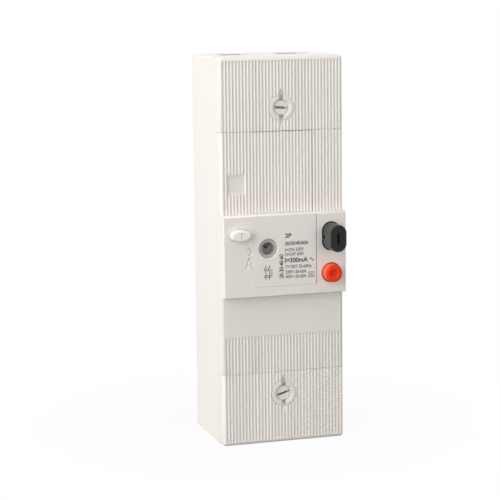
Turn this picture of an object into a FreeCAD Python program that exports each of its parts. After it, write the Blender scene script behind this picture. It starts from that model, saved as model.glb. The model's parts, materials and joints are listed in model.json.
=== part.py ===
import FreeCAD, Part
import math
import os

# Two-pole residual current circuit breaker, modelled as the assembly that comes apart on a bench.
# Millimetres. X runs right seen from the front, Z up and Y from the front to the back.
# The origin is the centre of the flat back, so the front faces have negative Y.

# Housing
WIDTH = 64.0
HEIGHT = 195.0
DEPTH = 49.0                    # flat back to the tops of the ribs
WALL = 2.2                      # side and end walls
FLOOR = 2.5                     # back of the base
FACE_WALL = 2.8                 # ribbed front of the covers
COVER_DEPTH = 7.0               # skirt of the covers, in front of the rim of the base
PARTING_GAP = 0.15
TERMINAL_COVER_HEIGHT = 36.7
SEAM_GAP = 0.15
SEAM_WALL = 1.8                 # walls on each side of a seam
END_ROUND = 2.0                 # front edge at the top and bottom ends
SIDE_ROUND = 1.5                # front edge along the sides
CORNER_ROUND = 0.8              # corners of the outline
FIT = 0.1                       # gap between seated pieces
SLIDE_FIT = 0.3                 # gap round a sliding piece
SHAFT_FIT = 0.05                # radial gap round a shaft

# Ribs
RIB_SPACING = 1.7
RIB_END = 2.0                   # plain strip at the top and bottom ends
GROOVE_MOUTH = 1.35
GROOVE_BOTTOM = 0.35
GROOVE_DEPTH = 0.5
INSERT_RIB_COUNT = 19           # ribs across the setting cover
INSERT_THICKNESS = 2.0
INSERT_FIT = 0.05               # left and lower edges in the recess
INSERT_PLAY = 0.25              # right and upper edges
INSERT_LEDGE = 1.5
CLIP_WIDTH = 8.0
CLIP_THICKNESS = 1.2
CLIP_BARB = 0.8
RECESS_RIB_NUMBER = -14         # square recess, counted in ribs from the middle
RECESS_RIB_COUNT = 5
RECESS_BOTTOM = 29.8
RECESS_HEIGHT = 10.0
RECESS_DEPTH = 0.9

# Control panel
PANEL_RISE = 4.5
PANEL_TOP = 20.0
PANEL_BOTTOM = -21.2
PANEL_WALL = 2.0
PANEL_BEVEL = 1.0
PANEL_ROUND = 0.5
BAND_HEIGHT = 20.8              # plain band below the panel
LABEL_WIDTH = 32.1
LABEL_TOP = 19.1
LABEL_BOTTOM = -16.2
LABEL_THICKNESS = 0.8
LABEL_RISE = 0.12
LABEL_GAP = 0.05

# Push buttons
BUTTON_INSET = 7.9              # from the right side to the middle of the ON and OFF buttons
BUTTON_GAP = 0.6                # round the ON and OFF buttons
TEST_GAP = 0.2
FLANGE_LIP = 0.5                # flange behind the edge of its opening
FLANGE_THICKNESS = 1.5
ON_Z = 7.6
ON_WIDTH = 8.6
ON_HEIGHT = 13.6
ON_RISE = 11.0
ON_TRAVEL = 7.0
ON_ROUND = 0.4
ON_DISH_RIM = 1.2
ON_DISH_DEPTH = 0.4
ON_SEAL_HOLE = 2.2              # cross hole for a sealing wire, beside the panel
ON_SEAL_HOLE_RISE = 1.9
ON_STEM_WIDTH = 4.8
ON_STEM_HEIGHT = 8.0
FORK_END = 1.8                  # stem left behind the crank pin
OFF_Z = -10.9
OFF_DIAMETER = 9.0
OFF_TRAVEL = 3.0
OFF_PROUD = 1.8                 # left standing above the panel when pressed
OFF_ROUND = 1.2
OFF_DISH = 4.6
OFF_DISH_DEPTH = 0.6
OFF_STEM = 4.0
OFF_TIP = 1.0
TEST_INSET = 8.4                # from the left side
TEST_Z = 10.2
TEST_WIDTH = 10.7
TEST_HEIGHT = 6.2
OVAL_END_RATIO = 0.75           # radius of an oval's ends against half its height
TEST_RISE = 3.0
TEST_TRAVEL = 1.8
TEST_ROUND = 1.3
TEST_STEM = 3.0
SHELF = 2.0                     # thickness of the guide shelves in the base
SHELF_MARGIN = 2.0
TEST_BRIDGE_LENGTH = 8.0
TEST_BRIDGE_WIDTH = 4.0
BLADE = 0.8
BLADE_WIDTH = 2.5
BLADE_LENGTH = 9.0
STEM_BELOW_SHELF = 2.1
RESISTOR_DIAMETER = 4.0
RESISTOR_LENGTH = 10.0
RESISTOR_LEAD = 0.8
RESISTOR_LEAD_LENGTH = 2.5

# Rating selector
SELECTOR_X = -8.9
SELECTOR_Z = 2.8
SELECTOR_MOUTH = 9.6
SELECTOR_BEVEL = 0.35           # round the mouth in the label
SELECTOR_DEPTH = 1.0            # ring of the dial below the panel
SELECTOR_RING = 1.6             # from the mouth to the cup in the dial
SELECTOR_CUP_DEPTH = 3.4
SELECTOR_BODY = 5.8
ARROW_ANGLE = 45.0              # arrow-shaped driver slot in the cup, off the upright
ARROW_EDGE = 0.4                # from its point to the wall of the cup
ARROW_HEAD = 2.8
ARROW_SHAFT = 1.1
ARROW_TAIL = 0.6                # beyond the middle of the dial
ARROW_DEPTH = 1.2
SELECTOR_SHOULDER = 1.2         # flange beyond the mouth
SELECTOR_FLANGE_THICKNESS = 1.4
SELECTOR_LIP = 0.6
SELECTOR_TUBE_WALL = 1.5
SELECTOR_SHAFT = 4.0
SELECTOR_SHAFT_LENGTH = 6.0
CAM_OFFSET = 0.8
CAM_DIAMETER = 6.4
CAM_LENGTH = 2.5

# Quarter-turn sealing screws of the terminal covers
SEAL_INSET = 25.3               # from the end of the housing
SEAL_RING = 13.8
SEAL_RING_GROOVE = 0.8
SEAL_RING_DEPTH = 0.6
SEAL_DISH = 9.4
SEAL_DISH_DEPTH = 0.6
SEAL_WELL = 7.5
SEAL_HEAD = 7.1
SEAL_DEPTH = 0.9                # head below the ribs
SEAL_HEAD_THICKNESS = 2.0
SEAL_SLOT_WIDTH = 1.2
SEAL_SLOT_DEPTH = 1.5
SEAL_BOSS_WALL = 1.8
SEAL_SHANK = 4.0
SEAL_UPPER_ANGLE = -5.0         # how far each slot stands off the horizontal
SEAL_LOWER_ANGLE = 17.0
RAMP_WIDTH = 2.6
RAMP_DEPTH = 2.2
RAMP_FLAT = 5.6                 # ends of the deep part and of the whole ramp,
RAMP_LENGTH = 9.8               # from the middle of the screw
POST_WALL = 1.8
KEY_LENGTH = 7.6
KEY_WIDTH = 2.0
KEY_THICKNESS = 2.0
LEDGE = 2.0
CHAMBER_DEPTH = 4.0

# Terminals and line straps
TERMINAL_X = 15.0
TERMINAL_WIDTH = 14.0
TERMINAL_DEPTH = 14.0
TERMINAL_LENGTH = 16.0
TERMINAL_INSET = 11.5           # from the end of the housing to the mouth of the block
BORE = 9.0
BORE_DEPTH = 12.0
CLAMP_SCREW = 6.0
CLAMP_SCREW_LENGTH = 8.0
CLAMP_SLOT = 1.2
SEAT_HEIGHT = 6.0               # back of the straps above the floor
STRAP_WIDTH = 7.0
STRAP_THICKNESS = 1.5
STRAP_OVERLAP = 14.0            # strap behind the terminal block
ENTRY_WIDTH = 15.0
ENTRY_DEPTH = 15.0
ENTRY_ROUND = 2.0
CENTRE_WALL = 2.0
CENTRE_WALL_LENGTH = 17.0

# Fixings
FIXING_INSET = 9.5              # wall screws, from the ends of the housing
FIXING_HOLE = 4.5
FIXING_BOSS = 9.0
FIXING_BOSS_HEIGHT = 1.5
HOUSING_SCREW_X = 5.7           # from the sides
HOUSING_SCREW_Z = 5.6           # from the seams
HOUSING_SCREW = 2.9
HOUSING_SCREW_LENGTH = 13.0
HOUSING_SCREW_HEAD = 5.4
HOUSING_HEAD_THICKNESS = 1.2
PILLAR = 6.0
PILLAR_BOSS_HEIGHT = 2.0

# Switching mechanism
POLE_SPACING = 25.0
POLE_GAP = 3.2                  # between the crank and the holder of the right arm
CRANK_HEIGHT = 25.5             # crank pin above the axle at both ends of its travel
CRANK_THICKNESS = 2.6
CRANK_GAP = 0.4
CRANK_PIN = 3.0
CRANK_END = 6.0
AXLE = 4.0
HUB = 8.0
BEARING_WALL = 2.9
BEARING_TOP = 4.0               # bearing walls, beyond the trip bar axle and below the carrier axle
BEARING_BELOW = 5.0
ARM_LENGTH = 30.0
ARM_WIDTH = 5.0
ARM_THICKNESS = 2.0
ARM_FOOT = 5.2
TIP = 5.0
TIP_THICKNESS = 1.5
TIP_INSET = 1.0
TIP_GAP = 0.05                  # left between closed contacts
HOLDER_WIDTH = 9.0
HOLDER_FRONT = 6.0
HOLDER_TOP = 15.0
HOLDER_POCKET = 0.2
CONTACT_SPRING = 3.0
CONTACT_SPRING_LENGTH = 3.6
BRAID_WIDTH = 4.0
BRAID_THICKNESS = 1.2
BRAID_BEND = 2.5
BRAID_BACK = 8.0                # back of the hanging braid, from the wall

# Arc chutes
CHUTE_BOTTOM = 15.0
CHUTE_HEIGHT = 30.0
CHUTE_DEPTH = 20.0
CHUTE_WIDTH = 12.1
CHEEK = 0.8
PLATE_COUNT = 8
PLATE_THICKNESS = 1.0
PLATE_NOTCH_WIDTH = 5.0
PLATE_NOTCH_HEIGHT = 10.0

# Trip bar
TRIP_SPACING = 15.0             # in front of the carrier axle
TRIP_Z = -2.0
TRIP_AXLE = 2.4
TRIP_HUB = 5.0
HOOK_LENGTH = 6.0
HOOK_THICKNESS = 2.0
HOOK_WIDTH = 3.2
HOOK_GAP = 0.4
OFF_ARM_WIDTH = 4.0
OFF_ARM_GAP = 0.2
OFF_ARM_TAIL = 2.2
FINGER_WIDTH = 10.0
FINGER_LENGTH = 7.5
FINGER_THICKNESS = 1.5
RELAY_FINGER_LENGTH = 6.5
RELAY_FINGER_WIDTH = 3.0
RELAY_FINGER_THICKNESS = 1.8

# Thermal and magnetic trips
BIMETAL_GAP = 1.05
BIMETAL_WIDTH = 5.0
BIMETAL_THICKNESS = 1.0
BIMETAL_LAP = 3.0               # end of the bimetal in front of the trip bar finger
BRACKET_WIDTH = 8.0
BRACKET_THICKNESS = 2.0
BRACKET_FLANGE = 1.5
BRACKET_FOOT = 6.0
BRACKET_SEAT = 3.5
YOKE_THICKNESS = 1.2
YOKE_INSIDE = 6.8
YOKE_BACK = 1.5
YOKE_DEPTH = 3.4                # pole faces in front of the bimetal's back
YOKE_BOTTOM = 8.0               # above the bracket
YOKE_HEIGHT = 14.0
LUG_HEIGHT = 5.0
AIR_GAP = 1.2
ARMATURE_THICKNESS = 1.2
ARMATURE_WIDTH = 8.8
ARMATURE_BARREL = 3.2
ARMATURE_PIN = 2.0
ARMATURE_TAB = 1.4
ARMATURE_STROKE = 2.0           # left between the armature's tabs and the trip bar finger
CONDUCTOR = 3.0
CONDUCTOR_SPACING = 5.8
CONDUCTOR_BEND = 2.5
CONDUCTOR_DROP = 9.5            # bracket to the top of the winding
CONDUCTOR_STRAIGHT = 4.0
CONDUCTOR_LEAD_IN = 1.5
CONDUCTOR_SOCKET = 3.5

# Residual current sensor and relay
CORE_OUTER = 21.0
CORE_INNER = 14.0
CORE_HEIGHT = 6.0
WINDING_THICKNESS = 1.2
WINDING_ANGLE = 320.0
CRADLE_WIDTH = 8.0
LEAD = 1.0
LEAD_SPACING = 5.0
RELAY_TOP = 7.1                 # below the carrier axle
RELAY_GAP = 1.0
RELAY_DEPTH = 25.4
RELAY_ROUND = 1.0
PLUNGER = 2.4
PLUNGER_STROKE = 2.0
PLUNGER_SEAT = 6.0

# Coil springs, modelled with square wire
SPRING_SIDE_COUNT = 10
ON_SPRING = 4.2                 # mean diameters
ON_SPRING_WIRE = 0.6
ON_SPRING_TURNS = 6
OFF_SPRING = 6.0
OFF_SPRING_WIRE = 0.5
OFF_SPRING_TURNS = 4
TEST_SPRING = 4.8
TEST_SPRING_WIRE = 0.4
TEST_SPRING_TURNS = 4
CONTACT_SPRING_WIRE = 0.4
CONTACT_SPRING_TURNS = 3
TRIP_SPRING_WIRE = 0.6
TRIP_SPRING_TURNS = 4
TRIP_SPRING_LENGTH = 4.2

# Planes and centres that follow from the sizes above
SIDE = WIDTH / 2
END = HEIGHT / 2
SEAM = END - TERMINAL_COVER_HEIGHT
FACE = -DEPTH
PANEL = FACE - PANEL_RISE
RIM = FACE + COVER_DEPTH
FACE_INSIDE = FACE + FACE_WALL
PANEL_INSIDE = PANEL + PANEL_WALL
BACK_INSIDE = -FLOOR
SIDE_INSIDE = SIDE - WALL
END_INSIDE = END - WALL
GROOVES = int((SIDE - SIDE_ROUND - GROOVE_MOUTH / 2) / RIB_SPACING + 0.5)
INSERT_HALF = INSERT_RIB_COUNT * RIB_SPACING / 2
BAND_BOTTOM = PANEL_BOTTOM - BAND_HEIGHT
BUTTON_X = SIDE - BUTTON_INSET
TEST_X = TEST_INSET - SIDE
OFF_RISE = OFF_PROUD + OFF_TRAVEL
FLANGE_FRONT = PANEL_INSIDE + FIT
FLANGE_BACK = FLANGE_FRONT + FLANGE_THICKNESS
SHELF_BACK = RIM + SHELF

SEAL_Z = END - SEAL_INSET
SEAL_HEAD_FRONT = FACE + SEAL_DEPTH
SEAL_FLOOR = SEAL_HEAD_FRONT + SEAL_HEAD_THICKNESS + FIT
SEAL_BOSS_END = SEAL_FLOOR + SEAL_BOSS_WALL
POST_FRONT = SEAL_BOSS_END + FIT
LEDGE_BACK = POST_FRONT + LEDGE
CHAMBER = KEY_LENGTH + 2 * SLIDE_FIT

STRAP_BACK = BACK_INSIDE - SEAT_HEIGHT
STRAP_FRONT = STRAP_BACK - STRAP_THICKNESS
BORE_Y = STRAP_FRONT - TERMINAL_DEPTH / 2
BLOCK_OUTER = END - TERMINAL_INSET
BLOCK_INNER = BLOCK_OUTER - TERMINAL_LENGTH
FIXING_Z = END - FIXING_INSET
SCREW_X = SIDE - HOUSING_SCREW_X
SCREW_Z = SEAM - HOUSING_SCREW_Z
PILLAR_END = BACK_INSIDE - PILLAR_BOSS_HEIGHT - FIT

CRANK_RIGHT = BUTTON_X - ON_STEM_WIDTH / 2 - CRANK_GAP
CRANK_LEFT = CRANK_RIGHT - CRANK_THICKNESS
POLE_RIGHT = CRANK_LEFT - POLE_GAP - HOLDER_WIDTH / 2
POLE_LEFT = POLE_RIGHT - POLE_SPACING
AXLE_Y = STRAP_FRONT - 2 * TIP_THICKNESS - TIP_GAP - ARM_THICKNESS / 2
AXLE_Z = ON_Z - CRANK_HEIGHT
PIN_Y = AXLE_Y - ON_TRAVEL / 2
SWING = 2 * math.degrees(math.atan(ON_TRAVEL / 2 / CRANK_HEIGHT))
BEARING_X = SIDE_INSIDE - BEARING_WALL
STEM_END = PIN_Y + CRANK_PIN / 2 + FIT + FORK_END

TRIP_Y = AXLE_Y - TRIP_SPACING
FINGER_FRONT = TRIP_Y - TRIP_HUB / 2
OFF_ARM_FRONT = FINGER_FRONT - OFF_ARM_GAP
BIMETAL_BACK = FINGER_FRONT - BIMETAL_GAP
BIMETAL_TOP = TRIP_Z - FINGER_LENGTH + BIMETAL_LAP

WINDING_BOTTOM = SEAM_WALL + FIT - SEAM
WINDING_TOP = WINDING_BOTTOM + CORE_HEIGHT + 2 * WINDING_THICKNESS
BRACKET_Z = WINDING_TOP + CONDUCTOR_DROP
YOKE_Z = BRACKET_Z + YOKE_BOTTOM
POLE_FACE = BIMETAL_BACK - YOKE_DEPTH
ARMATURE_BACK = POLE_FACE - AIR_GAP
ARMATURE_Y = ARMATURE_BACK - ARMATURE_THICKNESS / 2
ARMATURE_Z = YOKE_Z - LUG_HEIGHT / 2
ARMATURE_TOP = TRIP_Z - FINGER_LENGTH + 2 * ARMATURE_THICKNESS
RELAY_X = (POLE_LEFT + POLE_RIGHT) / 2
RELAY_Y = TRIP_Y + TRIP_HUB
RELAY_Z = AXLE_Z - RELAY_TOP

BRIDGE_BACK = SHELF_BACK + STEM_BELOW_SHELF
BLADE_FRONT = BRIDGE_BACK + TEST_TRAVEL + FIT
BLADE_SHELF = BLADE_FRONT + BLADE
SELECTOR_FACE = PANEL + SELECTOR_DEPTH
SELECTOR_CUP = SELECTOR_MOUTH - 2 * SELECTOR_RING
SELECTOR_CUP_FLOOR = SELECTOR_FACE + SELECTOR_CUP_DEPTH
SELECTOR_FLANGE = SELECTOR_MOUTH + 2 * SELECTOR_SHOULDER
SELECTOR_TUBE_END = SELECTOR_FACE + SELECTOR_BODY
SELECTOR_FLANGE_END = SELECTOR_TUBE_END + 2 * FIT + SELECTOR_FLANGE_THICKNESS

V = FreeCAD.Vector


def block(x, y, z):
    """Box between the low and high value on each axis."""
    return Part.makeBox(x[1] - x[0], y[1] - y[0], z[1] - z[0], V(x[0], y[0], z[0]))


def around(centre, size):
    """Low and high value of a span about its middle."""
    return (centre - size / 2, centre + size / 2)


def rod_x(diameter, x, y, z):
    return Part.makeCylinder(diameter / 2, x[1] - x[0], V(x[0], y, z), V(1, 0, 0))


def rod_y(diameter, x, y, z):
    return Part.makeCylinder(diameter / 2, y[1] - y[0], V(x, y[0], z), V(0, 1, 0))


def rod_z(diameter, x, y, z):
    return Part.makeCylinder(diameter / 2, z[1] - z[0], V(x, y, z[0]), V(0, 0, 1))


def prism_x(outline, x):
    """Outline of (y, z) points, extruded along X."""
    points = [V(x[0], y, z) for y, z in outline]
    return Part.Face(Part.makePolygon(points + points[:1])).extrude(V(x[1] - x[0], 0, 0))


def prism_y(outline, y):
    """Outline of (x, z) points, extruded along Y."""
    points = [V(x, y[0], z) for x, z in outline]
    return Part.Face(Part.makePolygon(points + points[:1])).extrude(V(0, y[1] - y[0], 0))


def prism_z(outline, z):
    """Outline of (x, y) points, extruded along Z."""
    points = [V(x, y, z[0]) for x, y in outline]
    return Part.Face(Part.makePolygon(points + points[:1])).extrude(V(0, 0, z[1] - z[0]))


def stadium(width, height, x, y, z):
    """Upright oblong with round ends, extruded along Y."""
    straight = (height - width) / 2
    body = block(around(x, width), y, around(z, 2 * straight))
    ends = [rod_y(width, x, y, z + side * straight) for side in (-1, 1)]
    return join(body, ends)


def oval(width, height, x, y, z):
    """Flat oval of four tangent arcs, extruded along Y."""
    long, short = width / 2, height / 2
    end_radius = short * OVAL_END_RATIO
    side_radius = (long**2 + short**2 - 2 * long * end_radius) / (2 * (short - end_radius))
    lean = math.atan2(long - end_radius, side_radius - short)
    reach = side_radius * math.sin(lean)
    level = side_radius * math.cos(lean) - (side_radius - short)
    corners = [V(x + u * reach, y[0], z + w * level) for u, w in ((1, 1), (1, -1), (-1, -1), (-1, 1))]
    middles = [V(x + u * long, y[0], z + w * short) for u, w in ((1, 0), (0, -1), (-1, 0), (0, 1))]
    arcs = []
    for number in range(4):
        arc = Part.Arc(corners[number], middles[number], corners[(number + 1) % 4])
        arcs.append(arc.toShape())
    return Part.Face(Part.Wire(arcs)).extrude(V(0, y[1] - y[0], 0))


def cone_y(front, back, x, y, z):
    """Cone along Y with its front and back diameters."""
    return Part.makeCone(front / 2, back / 2, y[1] - y[0], V(x, y[0], z), V(0, 1, 0))


def join(first, others):
    return first.multiFuse(list(others)).removeSplitter()


def group(solids):
    return Part.makeCompound(list(solids))


def mirror_z(shape):
    return shape.mirror(V(0, 0, 0), V(0, 0, 1))


def turned(shape, y, z, angle):
    """Turned about an axis along X through (y, z)."""
    return shape.rotated(V(0, y, z), V(1, 0, 0), angle)


def along(edge, axis):
    """Whether an edge runs straight along the named axis."""
    box = edge.BoundBox
    lengths = {"x": box.XLength, "y": box.YLength, "z": box.ZLength}
    length = lengths.pop(axis)
    return length > max(lengths.values()) and max(lengths.values()) < 1e-6


def edges_on_front(shape, y, axis):
    """Straight edges in the plane y that run along the named axis."""
    return [edge for edge in shape.Edges if along(edge, axis) and abs(edge.BoundBox.YMin - y) < 1e-6]


def grooves(first, last, z, face):
    """Cutters for the tapered grooves with the given numbers, 1 being the first right of the middle rib."""
    cutters = []
    for number in range(first, last + 1):
        x = (number - 0.5) * RIB_SPACING
        outline = [
            (x - GROOVE_MOUTH / 2, face),
            (x + GROOVE_MOUTH / 2, face),
            (x + GROOVE_BOTTOM / 2, face + GROOVE_DEPTH),
            (x - GROOVE_BOTTOM / 2, face + GROOVE_DEPTH),
        ]
        cutters.append(prism_z(outline, z))
    return cutters


def coil(diameter, wire, length, turns, start, direction):
    """Helical spring of square wire, from start along a direction."""
    steps = round(SPRING_SIDE_COUNT * turns)
    rise = (length - wire) / steps
    rings = []
    for step in range(steps + 1):
        angle = 2 * math.pi * step / SPRING_SIDE_COUNT
        height = wire / 2 + rise * step
        ring = []
        for across, along in ((-1, -1), (1, -1), (1, 1), (-1, 1)):
            radius = diameter / 2 + across * wire / 2
            ring.append(V(radius * math.cos(angle), radius * math.sin(angle), height + along * wire / 2))
        rings.append(ring)
    first = rings[0]
    faces = [triangle(first[2], first[1], first[0]), triangle(first[3], first[2], first[0])]
    for low, high in zip(rings, rings[1:]):
        for corner in range(4):
            following = (corner + 1) % 4
            faces.append(triangle(low[corner], low[following], high[following]))
            faces.append(triangle(low[corner], high[following], high[corner]))
    last = rings[-1]
    faces += [triangle(last[0], last[1], last[2]), triangle(last[0], last[2], last[3])]
    spring = Part.Solid(Part.Shell(faces))
    turn = FreeCAD.Rotation(V(0, 0, 1), direction)
    spring.Placement = FreeCAD.Placement(start, turn)
    return spring


def triangle(a, b, c):
    return Part.Face(Part.makePolygon([a, b, c, a]))


def rounded_front(x, y, z, along_sides, at_bottom, at_top):
    """Front shell block with its front edges rounded by different radii, 0 for none."""
    body = block(x, y, z)
    for edge_z, radius in ((z[0], at_bottom), (z[1], at_top)):
        if radius:
            body = body.makeFillet(radius, edge_at(body, y[0], edge_z))
    return body.makeFillet(along_sides, edges_on_front(body, y[0], "z"))


def edge_at(shape, y, z):
    """Edges along X through (y, z)."""
    return [edge for edge in edges_on_front(shape, y, "x") if abs(edge.BoundBox.ZMin - z) < 1e-6]


def keyhole(y, z, angle):
    """Hole that lets the shank and key of a sealing screw through."""
    slot = block(around(0, KEY_LENGTH + 2 * SLIDE_FIT), y, around(z, KEY_WIDTH + 2 * SLIDE_FIT))
    slot.rotate(V(0, 0, z), V(0, 1, 0), angle)
    return rod_y(SEAL_SHANK + 2 * SLIDE_FIT, 0, y, z).fuse(slot)


def base():
    """Back shell with its compartments, posts, seats and bearings."""
    outer = block((-SIDE, SIDE), (RIM, 0), (-END, END))
    outer = outer.makeFillet(CORNER_ROUND, [edge for edge in outer.Edges if along(edge, "y")])
    inside = (-SIDE_INSIDE, SIDE_INSIDE)
    open_front = (RIM, BACK_INSIDE)
    rooms = [block(inside, open_front, (SEAM_WALL - SEAM, SEAM - SEAM_WALL))]
    for end in (-1, 1):
        room = sorted((end * (SEAM + SEAM_WALL), end * END_INSIDE))
        rooms.append(block(inside, open_front, room))
    shell = outer.cut(rooms)
    added = terminal_supports() + mechanism_supports() + control_shelves()
    return join(shell, added).cut(base_openings()).removeSplitter()


def terminal_supports():
    """Posts, centre walls and seats in the two terminal rooms."""
    added = []
    for end in (-1, 1):
        z = end * SEAL_Z
        added.append(rod_y(CHAMBER + 2 * POST_WALL, 0, (POST_FRONT, BACK_INSIDE), z))
        wall = sorted((end * (SEAM + SEAM_WALL), end * (SEAM + SEAM_WALL + CENTRE_WALL_LENGTH)))
        added.append(block(around(0, CENTRE_WALL), (RIM + SHELF, BACK_INSIDE), wall))
        boss = (BACK_INSIDE - FIXING_BOSS_HEIGHT, BACK_INSIDE)
        added.append(rod_y(FIXING_BOSS, 0, boss, end * FIXING_Z))
        seat_front = STRAP_BACK if end > 0 else STRAP_FRONT
        seat_z = sorted((end * BLOCK_OUTER, end * BLOCK_INNER))
        for side in (-1, 1):
            x = around(side * TERMINAL_X, TERMINAL_WIDTH)
            added.append(block(x, (seat_front, BACK_INSIDE), seat_z))
    return added


def mechanism_supports():
    """Bearing walls, contact seats, bracket seats, toroid cradle and screw bosses."""
    added = []
    bearing_z = (AXLE_Z - BEARING_BELOW, TRIP_Z + BEARING_TOP)
    bearing_y = (TRIP_Y - BEARING_TOP, BACK_INSIDE)
    for side in (-1, 1):
        added.append(block(sorted((side * BEARING_X, side * SIDE_INSIDE)), bearing_y, bearing_z))
    for pole in (POLE_LEFT, POLE_RIGHT):
        contact = (AXLE_Z + ARM_LENGTH - TIP_INSET - TIP - TIP_INSET, AXLE_Z + ARM_LENGTH)
        added.append(block(around(pole, STRAP_WIDTH), (STRAP_BACK, BACK_INSIDE), contact))
        foot = (BRACKET_Z, BRACKET_Z + BRACKET_FOOT)
        added.append(block(around(pole, BRACKET_WIDTH), (BACK_INSIDE - BRACKET_SEAT, BACK_INSIDE), foot))
    cradle_front = BORE_Y + CORE_OUTER / 2 + WINDING_THICKNESS + FIT
    cradle_z = (SEAM_WALL - SEAM, WINDING_TOP)
    added.append(block(around(0, CRADLE_WIDTH), (cradle_front, BACK_INSIDE), cradle_z))
    for x in (-SCREW_X, SCREW_X):
        for z in (-SCREW_Z, SCREW_Z):
            added.append(rod_y(PILLAR, x, (BACK_INSIDE - PILLAR_BOSS_HEIGHT, BACK_INSIDE), z))
    spigot = ON_SPRING - 2 * ON_SPRING_WIRE
    added.append(rod_y(spigot, BUTTON_X, (BACK_INSIDE - SHELF, BACK_INSIDE), ON_Z))
    return added


def control_shelves():
    """Shelves on the side walls that guide the stems of the buttons and carry the test contacts."""
    right = (BUTTON_X - ON_WIDTH / 2, SIDE_INSIDE)
    right_z = (OFF_Z - OFF_DIAMETER / 2 - SHELF_MARGIN, ON_Z + ON_HEIGHT / 2 + SHELF_MARGIN)
    left = (-SIDE_INSIDE, TEST_X + TEST_WIDTH / 2)
    left_z = around(TEST_Z, BLADE_LENGTH + 2 * SHELF_MARGIN)
    return [
        block(right, (RIM, SHELF_BACK), right_z),
        block(left, (RIM, SHELF_BACK), left_z),
        block(left, (BLADE_SHELF, BLADE_SHELF + SHELF), left_z),
    ]


def base_openings():
    """Cutters for everything that goes through the walls of the base."""
    cutters = []
    for end in (-1, 1):
        z = end * SEAL_Z
        angle = 90
        cutters.append(keyhole((POST_FRONT, LEDGE_BACK), z, angle))
        cutters.append(rod_y(CHAMBER, 0, (LEDGE_BACK, LEDGE_BACK + CHAMBER_DEPTH), z))
        cutters.append(rod_y(FIXING_HOLE, 0, (BACK_INSIDE - FIXING_BOSS_HEIGHT, 0), end * FIXING_Z))
        for side in (-1, 1):
            entry = block(
                around(side * TERMINAL_X, ENTRY_WIDTH),
                around(BORE_Y, ENTRY_DEPTH),
                sorted((end * END_INSIDE, end * END)),
            )
            corners = [edge for edge in entry.Edges if along(edge, "z")]
            cutters.append(entry.makeFillet(ENTRY_ROUND, corners))
    partition = (SEAM - SEAM_WALL, SEAM + SEAM_WALL)
    for pole in (POLE_LEFT, POLE_RIGHT):
        slot = (STRAP_FRONT - SLIDE_FIT, STRAP_BACK + FIT)
        cutters.append(block(around(pole, STRAP_WIDTH + 2 * SLIDE_FIT), slot, partition))
    window = CONDUCTOR_SPACING + CONDUCTOR + 2 * SLIDE_FIT
    below = (-partition[1], -partition[0])
    cutters.append(block(around(0, window), around(BORE_Y, CONDUCTOR + 2 * SLIDE_FIT), below))
    for x in (-SCREW_X, SCREW_X):
        for z in (-SCREW_Z, SCREW_Z):
            hole = (BACK_INSIDE - PILLAR_BOSS_HEIGHT, 0)
            cutters.append(rod_y(HOUSING_SCREW + 2 * SLIDE_FIT, x, hole, z))
            head = (-HOUSING_HEAD_THICKNESS - FIT, 0)
            cutters.append(rod_y(HOUSING_SCREW_HEAD + 2 * SLIDE_FIT, x, head, z))
    bearing = BEARING_WALL - SHAFT_FIT
    for side in (-1, 1):
        x = sorted((side * BEARING_X, side * (BEARING_X + bearing)))
        cutters.append(rod_x(AXLE + 2 * SHAFT_FIT, x, AXLE_Y, AXLE_Z))
        cutters.append(rod_x(TRIP_AXLE + 2 * SHAFT_FIT, x, TRIP_Y, TRIP_Z))
    guide = (RIM, SHELF_BACK)
    stem_x = around(BUTTON_X, ON_STEM_WIDTH + 2 * SLIDE_FIT)
    cutters.append(block(stem_x, guide, around(ON_Z, ON_STEM_HEIGHT + 2 * SLIDE_FIT)))
    cutters.append(rod_y(OFF_STEM + 2 * SLIDE_FIT, BUTTON_X, guide, OFF_Z))
    cutters.append(rod_y(TEST_STEM + 2 * SLIDE_FIT, TEST_X, guide, TEST_Z))
    return cutters


def main_cover():
    """Front shell between the seams: ribs, plain band, control panel and button openings."""
    z = (SEAM_GAP / 2 - SEAM, SEAM - SEAM_GAP / 2)
    skirt = RIM - PARTING_GAP
    shell = rounded_front((-SIDE, SIDE), (FACE, skirt), z, SIDE_ROUND, 0, 0)
    cutters = grooves(1 - GROOVES, GROOVES, (PANEL_TOP, z[1]), FACE)
    cutters += grooves(1 - GROOVES, GROOVES, (z[0], BAND_BOTTOM), FACE)
    recess_x = around(RECESS_RIB_NUMBER * RIB_SPACING, RECESS_RIB_COUNT * RIB_SPACING)
    recess_z = (RECESS_BOTTOM, RECESS_BOTTOM + RECESS_HEIGHT)
    cutters.append(block(recess_x, (FACE, FACE + RECESS_DEPTH), recess_z))
    shell = shell.cut(cutters)
    shell = join(shell, [control_panel()])
    inside = (-SIDE_INSIDE, SIDE_INSIDE)
    hollow = [
        block(inside, (FACE_INSIDE, skirt), (z[0] + SEAM_WALL, z[1] - SEAM_WALL)),
        block(inside, (PANEL_INSIDE, FACE_INSIDE), (PANEL_BOTTOM + PANEL_WALL, PANEL_TOP - PANEL_WALL)),
    ]
    shell = shell.cut(hollow)
    pillars = [
        rod_y(PILLAR, x, (FACE_INSIDE, PILLAR_END), z)
        for x in (-SCREW_X, SCREW_X)
        for z in (-SCREW_Z, SCREW_Z)
    ]
    shell = join(shell, pillars + [selector_tube()])
    return shell.cut(main_cover_openings()).removeSplitter()


def control_panel():
    """Raised block of the panel, bevelled along its top edge."""
    panel = block((-SIDE, SIDE), (PANEL, FACE_INSIDE), (PANEL_BOTTOM, PANEL_TOP))
    panel = panel.makeChamfer(PANEL_BEVEL, edge_at(panel, PANEL, PANEL_TOP))
    panel = panel.makeFillet(PANEL_ROUND, edge_at(panel, PANEL, PANEL_BOTTOM))
    return panel.makeFillet(PANEL_ROUND, edges_on_front(panel, PANEL, "z"))


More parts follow.
